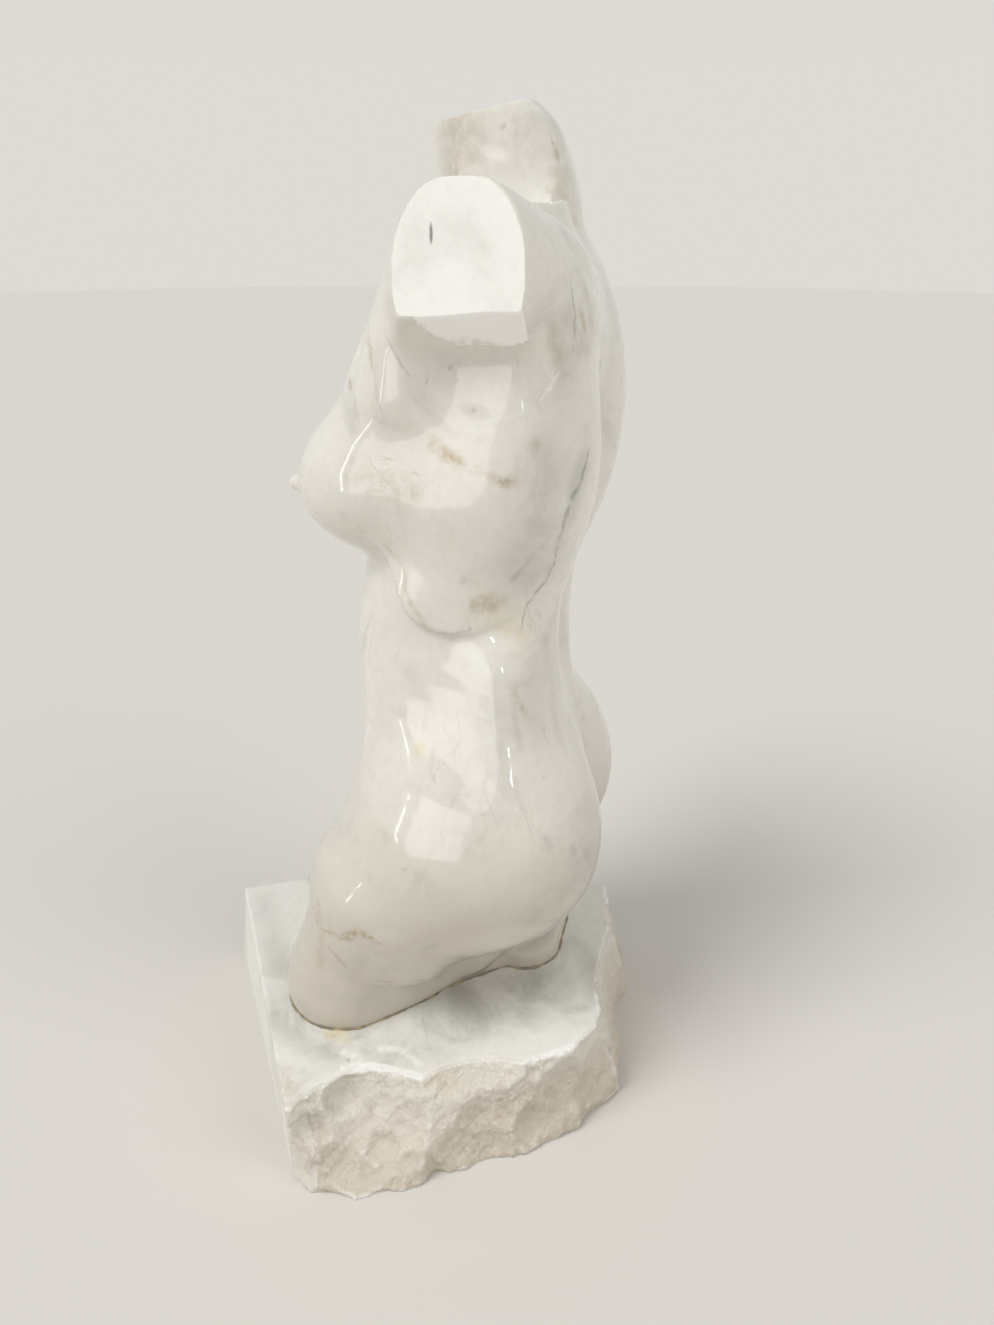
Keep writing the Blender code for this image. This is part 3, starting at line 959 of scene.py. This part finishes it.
# %% Marks on the arms and shoulders
marks = new_marks(torso)
stain_and_shade(marks, "tan", 13, 0.34, (462, 126), (460, 150), (462, 170))
stain_and_shade(marks, "grey", 10, 0.2, (449, 122), (446, 150), (448, 172))
stain_and_shade(marks, "tan", 8, 0.3, (560, 180), (572, 220), (580, 260))
# Painted shade: a grey band in the hollow beside the near shoulder's ridge.
stain_and_shade(marks, "grey", 5, 0.45, (545, 205), (563, 235), (582, 275), (592, 330))
line(marks, "tan", 1.3, 0.75, (552, 140), (556, 152), (559, 164))
stain_and_shade(marks, "tan", 3, 0.5, (549, 190))
specks(marks, 0.9, 0.8, (522, 107), (470, 153), (530, 162), (502, 127))
scar_top, scar_foot = [place for place, _ in spots_of(marks, ((431, 224), (431, 243)))]
stub_scar = tuple((scar_top + scar_foot) / 2)
line(marks, "dark", 0.5, 0.55, (544, 228), (551, 240), (557, 253))
# Painted highlight: a soft white band along the near shoulder's ridge.
stain_and_shade(marks, "white", 4, 0.5, (536, 210), (550, 222), (562, 238), (578, 264), (592, 292), (603, 335))
line(marks, "dark", 0.55, 0.6, (570, 279), (573, 300), (575, 317), (574, 334), (573, 350))
stain_and_shade(marks, "tan", 2.5, 0.55, (581, 310), (585, 330))
stain_and_shade(marks, "grey", 4, 0.4, (549, 322), (557, 346), (564, 373))
stain_and_shade(marks, "tan", 5, 0.3, (552, 330), (560, 360))
line(marks, "white", 0.5, 1.0, (561, 370), (549, 387), (539, 403))
line(marks, "white", 0.45, 0.9, (554, 384), (551, 390), (548, 395))
line(marks, "white", 0.45, 0.9, (543, 362), (546, 369), (550, 377))
line(marks, "tan", 1.6, 0.6, (368, 333), (370, 350), (372, 368))
line(marks, "dark", 0.6, 0.4, (388, 338), (397, 358), (409, 376))
line(marks, "tan", 1.2, 0.65, (348, 368), (350, 380), (351, 389))
print("arms and shoulders marked")

# %% Marks on the side and breast
line(marks, "tan", 1.6, 0.35, (438, 447), (450, 455), (464, 465), (481, 472), (503, 481), (515, 482))
stain_and_shade(marks, "ochre", 4.5, 0.8, (433, 444), (446, 455), (458, 464))
stain_and_shade(marks, "ochre", 2.6, 0.9, (437, 450), (441, 446))
stain_and_shade(marks, "ochre", 4.0, 0.55, (496, 480), (512, 482))
stain_and_shade(marks, "white", 1.4, 0.9, (436, 447))
stain_and_shade(marks, "dark", 1.6, 0.6, (500, 480), (507, 483))
line(marks, "white", 0.5, 0.7, (459, 468), (474, 468))
line(marks, "tan", 0.8, 0.5, (372, 465), (382, 476), (391, 487))
line(marks, "tan", 0.9, 0.6, (365, 493), (372, 491), (379, 490))
line(marks, "tan", 0.7, 0.6, (411, 473), (418, 474))
line(marks, "tan", 0.7, 0.5, (384, 458), (393, 459))
stain_and_shade(marks, "tan", 9, 0.3, (352, 470), (380, 480), (410, 492))
stain_and_shade(marks, "tan", 5, 0.4, (537, 445))
specks(marks, 0.8, 0.65, (563, 405), (552, 424), (493, 436), (474, 411), (512, 394), (451, 366))
specks(marks, 0.8, 0.65, (457, 381), (427, 381), (429, 335), (527, 564), (470, 629), (544, 776))
line(marks, "dark", 1.0, 0.75, (588, 453), (581, 482), (571, 501), (564, 521), (556, 550), (554, 564))
line(marks, "dark", 0.9, 0.7, (554, 564), (547, 579), (537, 591), (527, 605), (522, 625))
stain_and_shade(marks, "grey", 7, 0.4, (584, 460), (572, 500), (560, 540), (548, 580))
stain_and_shade(marks, "grey", 3, 0.55, (513, 579), (531, 558), (549, 538))
# Painted shade: a broad grey patch on the side behind the ribs, where it turns from the light.
stain_and_shade(marks, "grey", 22, 0.33, (540, 470), (541, 520), (530, 570))
stain_and_shade(marks, "dark", 2.8, 0.42, (464, 581))
stain_and_shade(marks, "dark", 5, 0.38, (478, 606), (492, 607))
stain_and_shade(marks, "tan", 6, 0.4, (478, 604), (500, 600))
stain_and_shade(marks, "yellow", 11, 0.35, (482, 612), (505, 620), (520, 636))
print("side and breast marked")

# %% Marks on the belly, loin and hip
ribs_edge = ((384, 545), (396, 557), (404, 574), (406, 591), (412, 605), (421, 619), (430, 630), (445, 634))
line(marks, "tan", 1.0, 0.55, *ribs_edge, (459, 633), (469, 630))
line(marks, "tan", 1.1, 0.7, (569, 637), (573, 650), (576, 666))
line(marks, "dark", 0.6, 0.8, (569, 718), (570, 726))
stain_and_shade(marks, "dark", 1.2, 0.6, (583, 717))
line(marks, "tan", 1.2, 0.7, (593, 688), (598, 704), (605, 719))
line(marks, "dark", 0.8, 0.5, (595, 690), (602, 706), (609, 721))
line(marks, "tan", 1.0, 0.5, (583, 736), (585, 748), (587, 760))
stain_and_shade(marks, "tan", 3, 0.45, (514, 693), (520, 704), (525, 714))
stain_and_shade(marks, "grey", 4, 0.4, (512, 699), (516, 724), (520, 748))
stain_and_shade(marks, "grey", 5, 0.3, (545, 640), (553, 690), (560, 740))
stain_and_shade(marks, "yellow", 5.5, 0.5, (420, 750))
stain_and_shade(marks, "grey", 4, 0.45, (573, 850), (584, 874), (592, 898))
stain_and_shade(marks, "tan", 3, 0.4, (586, 850), (590, 880))
stain_and_shade(marks, "grey", 3, 0.35, (546, 837), (551, 847))
# Painted shade: broad grey patches along the buttock's edge and down the hip.
stain_and_shade(marks, "grey", 20, 0.4, (600, 800), (590, 850), (570, 890), (530, 920))
stain_and_shade(marks, "grey", 22, 0.27, (500, 700), (490, 780), (470, 840))
stain_and_shade(marks, "white", 7, 0.5, (369, 676), (370, 710), (366, 739))
print("belly, loin and hip marked")

# %% Marks on the thigh and knee
line(marks, "tan", 1.8, 1.3, (311, 900), (314, 912), (318, 925))
line(marks, "tan", 1.8, 1.25, (323, 930), (331, 934), (338, 937), (350, 940))
line(marks, "tan", 1.9, 1.3, (343, 934), (352, 934), (360, 932), (377, 942))
line(marks, "tan", 1.3, 0.7, (328, 946), (340, 960), (350, 971))
line(marks, "tan", 1.6, 0.9, (374, 980), (388, 982), (401, 983), (420, 980), (442, 979))
line(marks, "tan", 0.8, 0.45, (401, 989), (413, 988))
stain_and_shade(marks, "grey", 3, 0.45, (425, 949), (442, 943))
stain_and_shade(marks, "tan", 8, 0.22, (430, 956), (450, 956), (470, 952))
stain_and_shade(marks, "grey", 9, 0.25, (320, 990), (360, 1000), (420, 990), (470, 965))
stain_and_shade(marks, "tan", 5, 0.35, (318, 905), (322, 935), (318, 965))
specks(marks, 0.9, 0.5, (321, 975), (355, 970), (394, 927), (489, 927), (470, 910), (404, 870))
keep_marks(marks)

# %% Marks on the plinth
marks = new_marks(plinth)
specks(marks, 1.3, 0.6, (333, 1036), (426, 1042), (348, 1060), (340, 1070), (390, 1049))
stain_and_shade(marks, "grey", 3, 0.45, (452, 1040), (466, 1040))
stain_and_shade(marks, "grey", 5, 0.4, (565, 1012), (585, 1008))
stain_and_shade(marks, "grey", 11, 0.4, (458, 986), (472, 1002), (487, 1017))
stain_and_shade(marks, "grey", 9, 0.3, (570, 940), (590, 960), (596, 1000))
stain_and_shade(marks, "grey", 12, 0.25, (262, 900), (270, 930), (282, 965))
stain_and_shade(marks, "shade", 30, 0.68, (300, 1010), (350, 1042), (410, 1038), (450, 1022), (490, 1005), (530, 990))
# Painted shade: broad tan patches darken the near split face at its left and at its right.
stain_and_shade(marks, "tan", 15, 0.4, (280, 1080), (292, 1120), (312, 1160))
stain_and_shade(marks, "tan", 26, 0.5, (480, 1120), (530, 1105), (590, 1080))
line(marks, "dark", 0.7, 0.3, (422, 1017), (425, 1028), (428, 1040))
stain_and_shade(marks, "white", 3.2, 1.0, (343, 1052), (352, 1054), (362, 1058))
stain_and_shade(marks, "white", 3.0, 1.0, (382, 1050), (396, 1049), (410, 1056), (419, 1064))
near_rim = ((332, 1080), (344, 1068), (356, 1063), (372, 1067), (388, 1072), (410, 1077), (427, 1080))
stain_and_shade(marks, "white", 2.4, 1.0, *near_rim)
far_rim = ((470, 1071), (478, 1064), (494, 1059), (508, 1064), (525, 1064), (545, 1057), (570, 1046))
stain_and_shade(marks, "white", 2.4, 0.8, *far_rim)
stain_and_shade(marks, "white", 1.8, 0.8, (285, 1109), (300, 1108), (312, 1102), (325, 1090))
stain_and_shade(marks, "dark", 2.0, 0.4, (246, 968))
stain_and_shade(marks, "dark", 2.0, 0.4, (251, 992))
# Painted shade: a grey patch and a dark spot in the hollow under the near rim.
stain_and_shade(marks, "grey", 7, 0.55, (352, 1090), (360, 1096), (366, 1106))
stain_and_shade(marks, "dark", 3.5, 0.4, (358, 1092))
stain_and_shade(marks, "grey", 6, 0.5, (500, 1096), (508, 1093))
stain_and_shade(marks, "tan", 4, 0.5, (318, 1126))
line(marks, "tan", 0.9, 0.45, (329, 1166), (338, 1160), (346, 1155))
stain_and_shade(marks, "yellow", 8, 0.4, (428, 1082), (450, 1082))
stain_and_shade(marks, "yellow", 6, 0.35, (345, 1040), (330, 1034))
stain_and_shade(marks, "yellow", 3, 0.9, (326, 1031), (336, 1033), (348, 1031))
keep_marks(marks)

# %% [markdown]
# ## Shader groups
#
# An effect that several finishes share is built once as a node group. The clouds are the soft change from
# warm white to grey inside the stone. The veins are thin lines where a warped noise passes its middle
# value. The mark groups turn the stored distances and strengths into ragged masks, because no vein in
# stone has a clean edge.

# %% Group helpers
def new_group(name, inputs, outputs):
    """An empty shader group with named inputs and outputs."""
    tree = bpy.data.node_groups.new(name, "ShaderNodeTree")
    for label, kind, value in inputs:
        socket = tree.interface.new_socket(label, in_out="INPUT", socket_type="NodeSocket" + kind)
        socket.default_value = value
    for label, kind in outputs:
        tree.interface.new_socket(label, in_out="OUTPUT", socket_type="NodeSocket" + kind)
    return tree, tree.nodes.new("NodeGroupInput"), tree.nodes.new("NodeGroupOutput")


def mix(tree, share, a, b, blend="MIX"):
    """A blend of two colours."""
    made = add(tree, "ShaderNodeMix", {0: share, 6: a, 7: b}, data_type="RGBA", blend_type=blend)
    return made.outputs[2]


def ramp(tree, value, low, high):
    """A value spread from 0 at low to 1 at high, with soft ends."""
    spread = {"Value": value, 1: low, 2: high}
    return add(tree, "ShaderNodeMapRange", spread, interpolation_type="SMOOTHSTEP").outputs[0]


def fall(tree, value, low, high):
    """The reverse of a ramp: 1 at low and 0 at high."""
    return maths(tree, "SUBTRACT", 1.0, ramp(tree, value, low, high))


def object_place(tree):
    """The place on the object, which doesn't move when the part does."""
    return add(tree, "ShaderNodeTexCoord").outputs["Object"]


def height_of(tree, place):
    """The height of a place or of a direction."""
    return add(tree, "ShaderNodeSeparateXYZ", {0: place}).outputs["Z"]


def noise(tree, size, detail=3.0, roughness=0.5, warp=0.0, place=None):
    """A noise value with features of a given size, in metres, on object coordinates."""
    rate = 1.0 / size if isinstance(size, float) else maths(tree, "DIVIDE", 1.0, size)
    settings = {"Scale": rate, "Detail": detail, "Roughness": roughness, "Distortion": warp}
    settings["Vector"] = place or object_place(tree)
    return add(tree, "ShaderNodeTexNoise", settings).outputs[0]


def use(tree, group, **inputs):
    """A group placed in a tree. Input names are given with underscores for spaces."""
    made = tree.nodes.new("ShaderNodeGroup")
    made.node_tree = group
    for key, value in inputs.items():
        key = key.replace("_", " ")
        if isinstance(value, bpy.types.NodeSocket):
            tree.links.new(value, made.inputs[key])
        else:
            made.inputs[key].default_value = value
    return made.outputs


# %% Clouds
WARM_WHITE = (0.775, 0.75, 0.69, 1.0)
COOL_GREY = (0.56, 0.54, 0.495, 1.0)
clouds, start, end = new_group(
    "marble clouds",
    [
        ("Size", "Float", 0.05),
        ("Light", "Color", WARM_WHITE),
        ("Dark", "Color", COOL_GREY),
        ("Depth", "Float", 0.5),
    ],
    [("Color", "Color")],
)
broad = noise(clouds, start.outputs["Size"], 5.0, 0.62, 0.8)
fine = noise(clouds, 0.004, 3.0, 0.6)
mask = times(clouds, ramp(clouds, broad, 0.48, 0.78), 0.85)
mask = plus(clouds, mask, times(clouds, ramp(clouds, fine, 0.42, 0.72), 0.2))
mask = times(clouds, mask, start.outputs["Depth"])
clouds.links.new(mix(clouds, mask, start.outputs["Light"], start.outputs["Dark"]), end.inputs["Color"])
print("group", clouds.name)

# %% Veins
veins, start, end = new_group(
    "marble veins",
    [("Size", "Float", 0.06), ("Width", "Float", 0.02), ("Amount", "Float", 0.5)],
    [("Mask", "Float")],
)
slant = {"Vector": object_place(veins), "Rotation": (0.4, 0.5, 0.2), "Scale": (1.0, 1.0, 0.42)}
slanted = add(veins, "ShaderNodeMapping", slant).outputs[0]
wave = noise(veins, start.outputs["Size"], 6.0, 0.58, 1.1, slanted)
off = maths(veins, "ABSOLUTE", maths(veins, "SUBTRACT", wave, 0.5))
thin = maths(veins, "DIVIDE", off, start.outputs["Width"])
core = fall(veins, thin, 0.0, 1.0)
gaps = ramp(veins, noise(veins, 0.028, 2.0), 0.5, 0.72)
mask = times(veins, times(veins, core, gaps), start.outputs["Amount"])
veins.links.new(mask, end.inputs["Mask"])
print("group", veins.name)

# %% Lines and stains
line_mark, start, end = new_group(
    "line mark",
    [("Across", "Float", 9.0), ("Line", "Float", 0.0), ("Raggedness", "Float", 0.8)],
    [("Mask", "Float")],
)
wander = maths(line_mark, "SUBTRACT", noise(line_mark, 0.0035, 4.0, 0.65), 0.5)
wander = times(line_mark, wander, times(line_mark, start.outputs["Raggedness"], 3.0))
off = maths(line_mark, "ABSOLUTE", plus(line_mark, start.outputs["Across"], wander))
core = fall(line_mark, off, 0.0, 1.3)
broken = ramp(line_mark, noise(line_mark, 0.0055, 3.0, 0.6), 0.3, 0.6)
mask = times(line_mark, times(line_mark, core, start.outputs["Line"]), broken)
line_mark.links.new(mask, end.inputs["Mask"])

stain_and_shade_mark, start, end = new_group(
    "stain mark",
    [("Stain", "Float", 0.0), ("Grain", "Float", 0.006)],
    [("Mask", "Float")],
)
grain = ramp(stain_and_shade_mark, noise(stain_and_shade_mark, start.outputs["Grain"], 5.0, 0.68, 0.5), 0.36, 0.66)
mask = times(stain_and_shade_mark, start.outputs["Stain"], plus(stain_and_shade_mark, grain, 0.25))
stain_and_shade_mark.links.new(mask, end.inputs["Mask"])
print("groups", line_mark.name, "and", stain_and_shade_mark.name)


# %% [markdown]
# ## Finishes
#
# Waxed marble is a smooth dielectric with light travelling a little way under its skin, so it has low
# roughness and a small subsurface share. Towards its foot it is painted greyer and warmer, as painted
# shade. The sawn stub was left from a fine blade: whiter, because scratches scatter light, and dull.
# Split stone shows its crystal faces, so it is rough, with small flat facets in its bump. It is dusty low
# down and bruised white along its rim.

# %% Material helpers
def new_material(name):
    """A material with its node tree and its Principled shader."""
    made = bpy.data.materials.new(name)
    made.use_nodes = True
    return made, made.node_tree, made.node_tree.nodes["Principled BSDF"]


def feed(tree, value, shader, name):
    """Links a varying value to one of the shader's inputs."""
    tree.links.new(value, shader.inputs[name])


def set_inputs(shader, **values):
    """Sets constants on the shader's own sockets. Names are given with underscores for spaces."""
    for name, value in values.items():
        shader.inputs[name.replace("_", " ")].default_value = value


def feed_bump(tree, shader, relief, depth):
    """A bump of the given depth, in metres, from a relief value."""
    bump = add(tree, "ShaderNodeBump", {"Height": relief, "Distance": depth})
    feed(tree, bump.outputs[0], shader, "Normal")


def stored(tree, name):
    """The value socket of a stored attribute."""
    return add(tree, "ShaderNodeAttribute", attribute_name=name).outputs["Fac"]


TAN = (0.42, 0.32, 0.20, 1.0)
SLATE = (0.40, 0.385, 0.345, 1.0)
DARK = (0.17, 0.155, 0.125, 1.0)
OCHRE = (0.50, 0.39, 0.22, 1.0)
LIGHT_REACH = (1.0, 0.85, 0.65)
YELLOW = (0.72, 0.60, 0.36, 1.0)
CHALK = (0.90, 0.885, 0.85, 1.0)
SHADE = (0.40, 0.39, 0.345, 1.0)
MARK_COLOURS = {
    "tan": TAN,
    "grey": SLATE,
    "dark": DARK,
    "yellow": YELLOW,
    "white": CHALK,
    "ochre": OCHRE,
    "shade": SHADE,
}


def marked(tree, colour, families, lines):
    """The stone's colour with its stored marks painted over it, painted shade and a painted highlight among
    them.
    """
    for family in families:
        grain_size = 0.035 if family in ("shade", "grey") else 0.006
        mask = use(tree, stain_and_shade_mark, Stain=stored(tree, family + "_stain"), Grain=grain_size)["Mask"]
        colour = mix(tree, mask, colour, MARK_COLOURS[family])
    for family in lines:
        across = stored(tree, family + "_across")
        mask = use(tree, line_mark, Across=across, Line=stored(tree, family + "_line"))["Mask"]
        colour = mix(tree, mask, colour, MARK_COLOURS[family])
    return colour


# %% Polished marble
FOOT_SHADE_TONE = (0.49, 0.445, 0.37, 1.0)
FRESH_WHITE = (0.97, 0.955, 0.93, 1.0)
polished, tree, shader = new_material("waxed_marble")
cloud = use(tree, clouds, Size=0.045, Depth=0.8)
colour = cloud["Color"]
colour = mix(tree, use(tree, veins, Size=0.075, Width=0.03, Amount=0.28)["Mask"], colour, SLATE)
colour = mix(tree, use(tree, veins, Size=0.032, Width=0.018, Amount=0.22)["Mask"], colour, TAN)
height = height_of(tree, object_place(tree))
# Painted shade: the figure grows darker and warmer towards its foot.
foot_shade = times(tree, fall(tree, height, 0.05, 0.26), 0.8)
colour = mix(tree, foot_shade, colour, FOOT_SHADE_TONE)
colour = marked(tree, colour, ("tan", "grey", "ochre", "dark", "yellow", "white"), ("tan", "dark", "white"))
chalky = plus(tree, stored(tree, "chalk"), times(tree, noise(tree, 0.003, 4.0, 0.6), 0.9))
chalky = ramp(tree, chalky, 0.75, 1.15)
colour = mix(tree, chalky, colour, FRESH_WHITE)
feed(tree, colour, shader, "Base Color")
gloss = plus(tree, times(tree, noise(tree, 0.02, 4.0, 0.6), 0.07), 0.075)
scratch = use(tree, line_mark, Across=stored(tree, "white_across"), Line=stored(tree, "white_line"))["Mask"]
gloss = plus(tree, gloss, times(tree, plus(tree, scratch, chalky), 0.5))
feed(tree, gloss, shader, "Roughness")
feed_bump(tree, shader, noise(tree, 0.012, 2.0, 0.4), 0.00006)
set_inputs(shader, Subsurface_Weight=0.12, Subsurface_Radius=LIGHT_REACH, Subsurface_Scale=0.004)
set_inputs(shader, IOR=1.5, Coat_Weight=0.8, Coat_Roughness=0.06)
print("finish", polished.name)

# %% Sawn marble
sawn, tree, shader = new_material("sawn_marble")
cloud = use(tree, clouds, Size=0.03, Depth=0.35, Light=(0.93, 0.915, 0.88, 1.0))
colour = marked(tree, cloud["Color"], ("tan", "grey", "dark"), ("tan", "dark"))
off_scar = vectors(tree, "SUBTRACT", object_place(tree), stub_scar)
away = vectors(tree, "LENGTH", vectors(tree, "MULTIPLY", off_scar, (200.0, 1500.0, 250.0)))
away = plus(tree, away, times(tree, noise(tree, 0.0015), 0.8))
colour = mix(tree, times(tree, fall(tree, away, 0.9, 1.5), 0.8), colour, DARK)
feed(tree, colour, shader, "Base Color")
gloss = plus(tree, times(tree, noise(tree, 0.008, 4.0, 0.6), 0.2), 0.42)
feed(tree, gloss, shader, "Roughness")
feed_bump(tree, shader, noise(tree, 0.0012, 4.0, 0.6), 0.00008)
set_inputs(shader, Subsurface_Weight=0.1, Subsurface_Radius=LIGHT_REACH, Subsurface_Scale=0.003)
print("finish", sawn.name)

# %% Hewn marble
hewn, tree, shader = new_material("split_marble")
split_share = stored(tree, "split")
SAWN_LIGHT = (0.80, 0.785, 0.735, 1.0)
SPLIT_LIGHT = (0.785, 0.76, 0.705, 1.0)
SPLIT_DARK = (0.60, 0.585, 0.54, 1.0)
DUST = (0.58, 0.51, 0.41, 1.0)
cloud = use(tree, clouds, Size=0.045, Depth=0.75, Light=SAWN_LIGHT)
rubbed = use(tree, clouds, Size=0.012, Depth=0.5, Light=SPLIT_LIGHT, Dark=SPLIT_DARK)
colour = mix(tree, split_share, cloud["Color"], rubbed["Color"])
colour = marked(tree, colour, ("shade", "tan", "grey", "dark", "yellow", "white"), ("tan", "dark"))
height = height_of(tree, object_place(tree))
dust = plus(tree, times(tree, fall(tree, height, 0.0, 0.045), 0.5), 0.34)
colour = mix(tree, times(tree, dust, split_share), colour, DUST)
edge = add(tree, "ShaderNodeNewGeometry").outputs["Pointiness"]
worn = times(tree, ramp(tree, edge, 0.51, 0.57), split_share)
colour = mix(tree, times(tree, worn, 0.7), colour, CHALK)
bruised = plus(tree, stored(tree, "bruise"), times(tree, noise(tree, 0.003, 4.0), 0.5))
bruised = ramp(tree, bruised, 0.45, 0.8)
colour = mix(tree, times(tree, bruised, 0.85), colour, CHALK)
feed(tree, colour, shader, "Base Color")
dull = plus(tree, times(tree, split_share, 0.32), 0.3)
dull = plus(tree, dull, times(tree, noise(tree, 0.01, 4.0, 0.6), 0.12))
feed(tree, dull, shader, "Roughness")
place = object_place(tree)
crystals = add(tree, "ShaderNodeTexVoronoi", {"Vector": place, "Scale": 620.0}).outputs
inside_crystal = vectors(tree, "SUBTRACT", place, crystals["Position"])
facets = vectors(tree, "DOT_PRODUCT", inside_crystal, crystals["Color"])
relief = times(tree, noise(tree, 0.0045, 5.0, 0.6), 1.6)
relief = plus(tree, relief, times(tree, facets, 420.0))
relief = times(tree, relief, plus(tree, times(tree, split_share, 0.93), 0.07))
feed_bump(tree, shader, relief, 0.0007)
set_inputs(shader, Subsurface_Weight=0.1, Subsurface_Radius=LIGHT_REACH, Subsurface_Scale=0.003)
print("finish", hewn.name)

# %% Old glue
glue, tree, shader = new_material("old_glue")
amber = ramp(tree, noise(tree, 0.006, 3.0), 0.4, 0.7)
colour = mix(tree, amber, (0.20, 0.175, 0.13, 1.0), (0.42, 0.33, 0.19, 1.0))
feed(tree, colour, shader, "Base Color")
feed(tree, plus(tree, times(tree, noise(tree, 0.003), 0.3), 0.35), shader, "Roughness")
print("finish", glue.name)

# %% Dress the torso
torso.data.materials.append(polished)
torso.data.materials.append(sawn)
print("torso slots", [m.name for m in torso.data.materials])

# %% Dress the plinth
plinth.data.materials.append(hewn)
run_tree(plinth, grain_tree, {"Grain size": 0.006, "Grain depth": 0.0009, "Seed": 3.0, "Material": hewn})
for v in plinth.data.vertices:
    v.co.z = max(v.co.z, 0.0)

# %% [markdown]
# ## The glue line
#
# The figure was set on its slab with glue, and years of dust have darkened the line. The figure's own
# outline at the slab is the path, so the bead follows it wherever the form goes.

# %% Foot outline
bm = bmesh.new()
bm.from_mesh(torso.data)
low_z = min(v.co.z for v in bm.verts)
outline = [
    e for e in bm.edges
    if all(v.co.z < low_z + 1e-6 for v in e.verts) and any(f.normal.z > -0.99 for f in e.link_faces)
]
number = {}
for e in outline:
    for v in e.verts:
        number.setdefault(v, len(number))
line_points = [(v.co.x, v.co.y, PLINTH_TOP + 0.0001) for v in number]
line_edges = [(number[e.verts[0]], number[e.verts[1]]) for e in outline]
bm.free()
mesh = bpy.data.meshes.new("glue_line")
mesh.from_pydata(line_points, line_edges, [])
glue_line = placed("glue_line", mesh)
mesh.materials.append(glue)
run_tree(glue_line, glue_tree, {"Thickness": 0.001, "Lump size": 0.005, "Seed": 5.0, "Material": glue})
for face in glue_line.data.polygons:
    face.use_smooth = True

# %% [markdown]
# ## Which piece stands for what
#
# The two finished skins replace the plain solids of the imported model, and everything rides on the one
# body.

# %% Ride and replace
for piece in (torso, plinth, glue_line):
    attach(piece, "root")
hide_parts("torso")
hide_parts("plinth")
print("pieces", torso.name, plinth.name, glue_line.name)

# %% [markdown]
# ## Floor and light
#
# Polished stone is drawn by what it mirrors. The bright shapes down the figure's side need one wide
# softbox, which stands where mirrored rays from those shapes lead. A thin box beside it draws their
# bright edge, and a narrow strip further round gives the small glints on the hip. These three are seen
# only in reflections. A key and a fill light shade the forms, and the sky is palest in a low band, so the
# polished sides stay light down to their edges.

# %% Floor
bm = bmesh.new()
bmesh.ops.create_circle(bm, cap_ends=True, segments=96, radius=6.0)
mesh = bpy.data.meshes.new("floor")
bm.to_mesh(mesh)
bm.free()
floor = placed("floor", mesh)
paper, tree, shader = new_material("floor_paper")
tone = mix(tree, noise(tree, 0.8, 2.0), (0.655, 0.63, 0.59, 1.0), (0.67, 0.645, 0.605, 1.0))
feed(tree, tone, shader, "Base Color")
set_inputs(shader, Roughness=0.9)
mesh.materials.append(paper)
print("floor radius 6 m")

# %% Lights
def away_from(azimuth, elevation):
    """A direction away from the figure. Azimuth 0 is in front of it and 90 at its left side."""
    turn, rise = math.radians(azimuth), math.radians(elevation)
    return Vector((math.sin(turn) * math.cos(rise), -math.cos(turn) * math.cos(rise), math.sin(rise)))


def lamp(name, kind, away, power):
    """A light that shines back along a direction."""
    data = bpy.data.lights.new(name, kind)
    data.energy = power
    made = placed(name, data)
    made.rotation_euler = away.to_track_quat("Z", "Y").to_euler()
    return made


def softbox(name, azimuth, elevation, distance, width, height, power, aim=(0.0, 0.0, 0.25)):
    """A flat light that only shows in reflections."""
    away = away_from(azimuth, elevation)
    made = lamp(name, "AREA", away, power)
    made.data.shape = "RECTANGLE"
    made.data.size = width
    made.data.size_y = height
    made.location = Vector(aim) + away * distance
    made.visible_diffuse = False
    made.visible_camera = False
    return made


def far_light(name, azimuth, elevation, spread, strength):
    """A soft light, too far off to be mirrored, that lights the floor evenly. The spread is in degrees."""
    made = lamp(name, "SUN", away_from(azimuth, elevation), strength)
    made.data.angle = math.radians(spread)
    made.visible_glossy = False
    return made


lights = (
    softbox("tall_box", 66, 0, 0.62, 0.45, 0.40, 0.72, (0.025, 0.111, 0.29)),
    softbox("box_edge", 45, 2, 0.65, 0.02, 0.34, 0.14),
    softbox("strip", 120, 14, 1.2, 0.016, 0.22, 0.6),
    far_light("key", 44, 52, 28, 1.85),
    far_light("fill", 158, 42, 34, 0.7),
)
print("lights", [light.name for light in lights])

# %% Sky
world = bpy.data.worlds.new("pale_sky")
world.use_nodes = True
bpy.context.scene.world = world
tree = world.node_tree
direction = add(tree, "ShaderNodeTexCoord").outputs["Generated"]
bright_side = (-0.3, -0.25, 0.92)
facing = vectors(tree, "DOT_PRODUCT", direction, bright_side)
tone = mix(tree, ramp(tree, facing, -0.9, 1.0), (0.42, 0.405, 0.38, 1.0), (0.86, 0.855, 0.84, 1.0))
height = height_of(tree, direction)
band = times(tree, ramp(tree, height, -0.35, -0.09), fall(tree, height, 0.1, 0.55))
tone = mix(tree, band, tone, (1.37, 1.335, 1.255, 1.0))
tree.links.new(tone, tree.nodes["Background"].inputs["Color"])
tree.nodes["Background"].inputs["Strength"].default_value = 0.53
bpy.context.scene.view_settings.view_transform = "Standard"
print("sky", world.name)
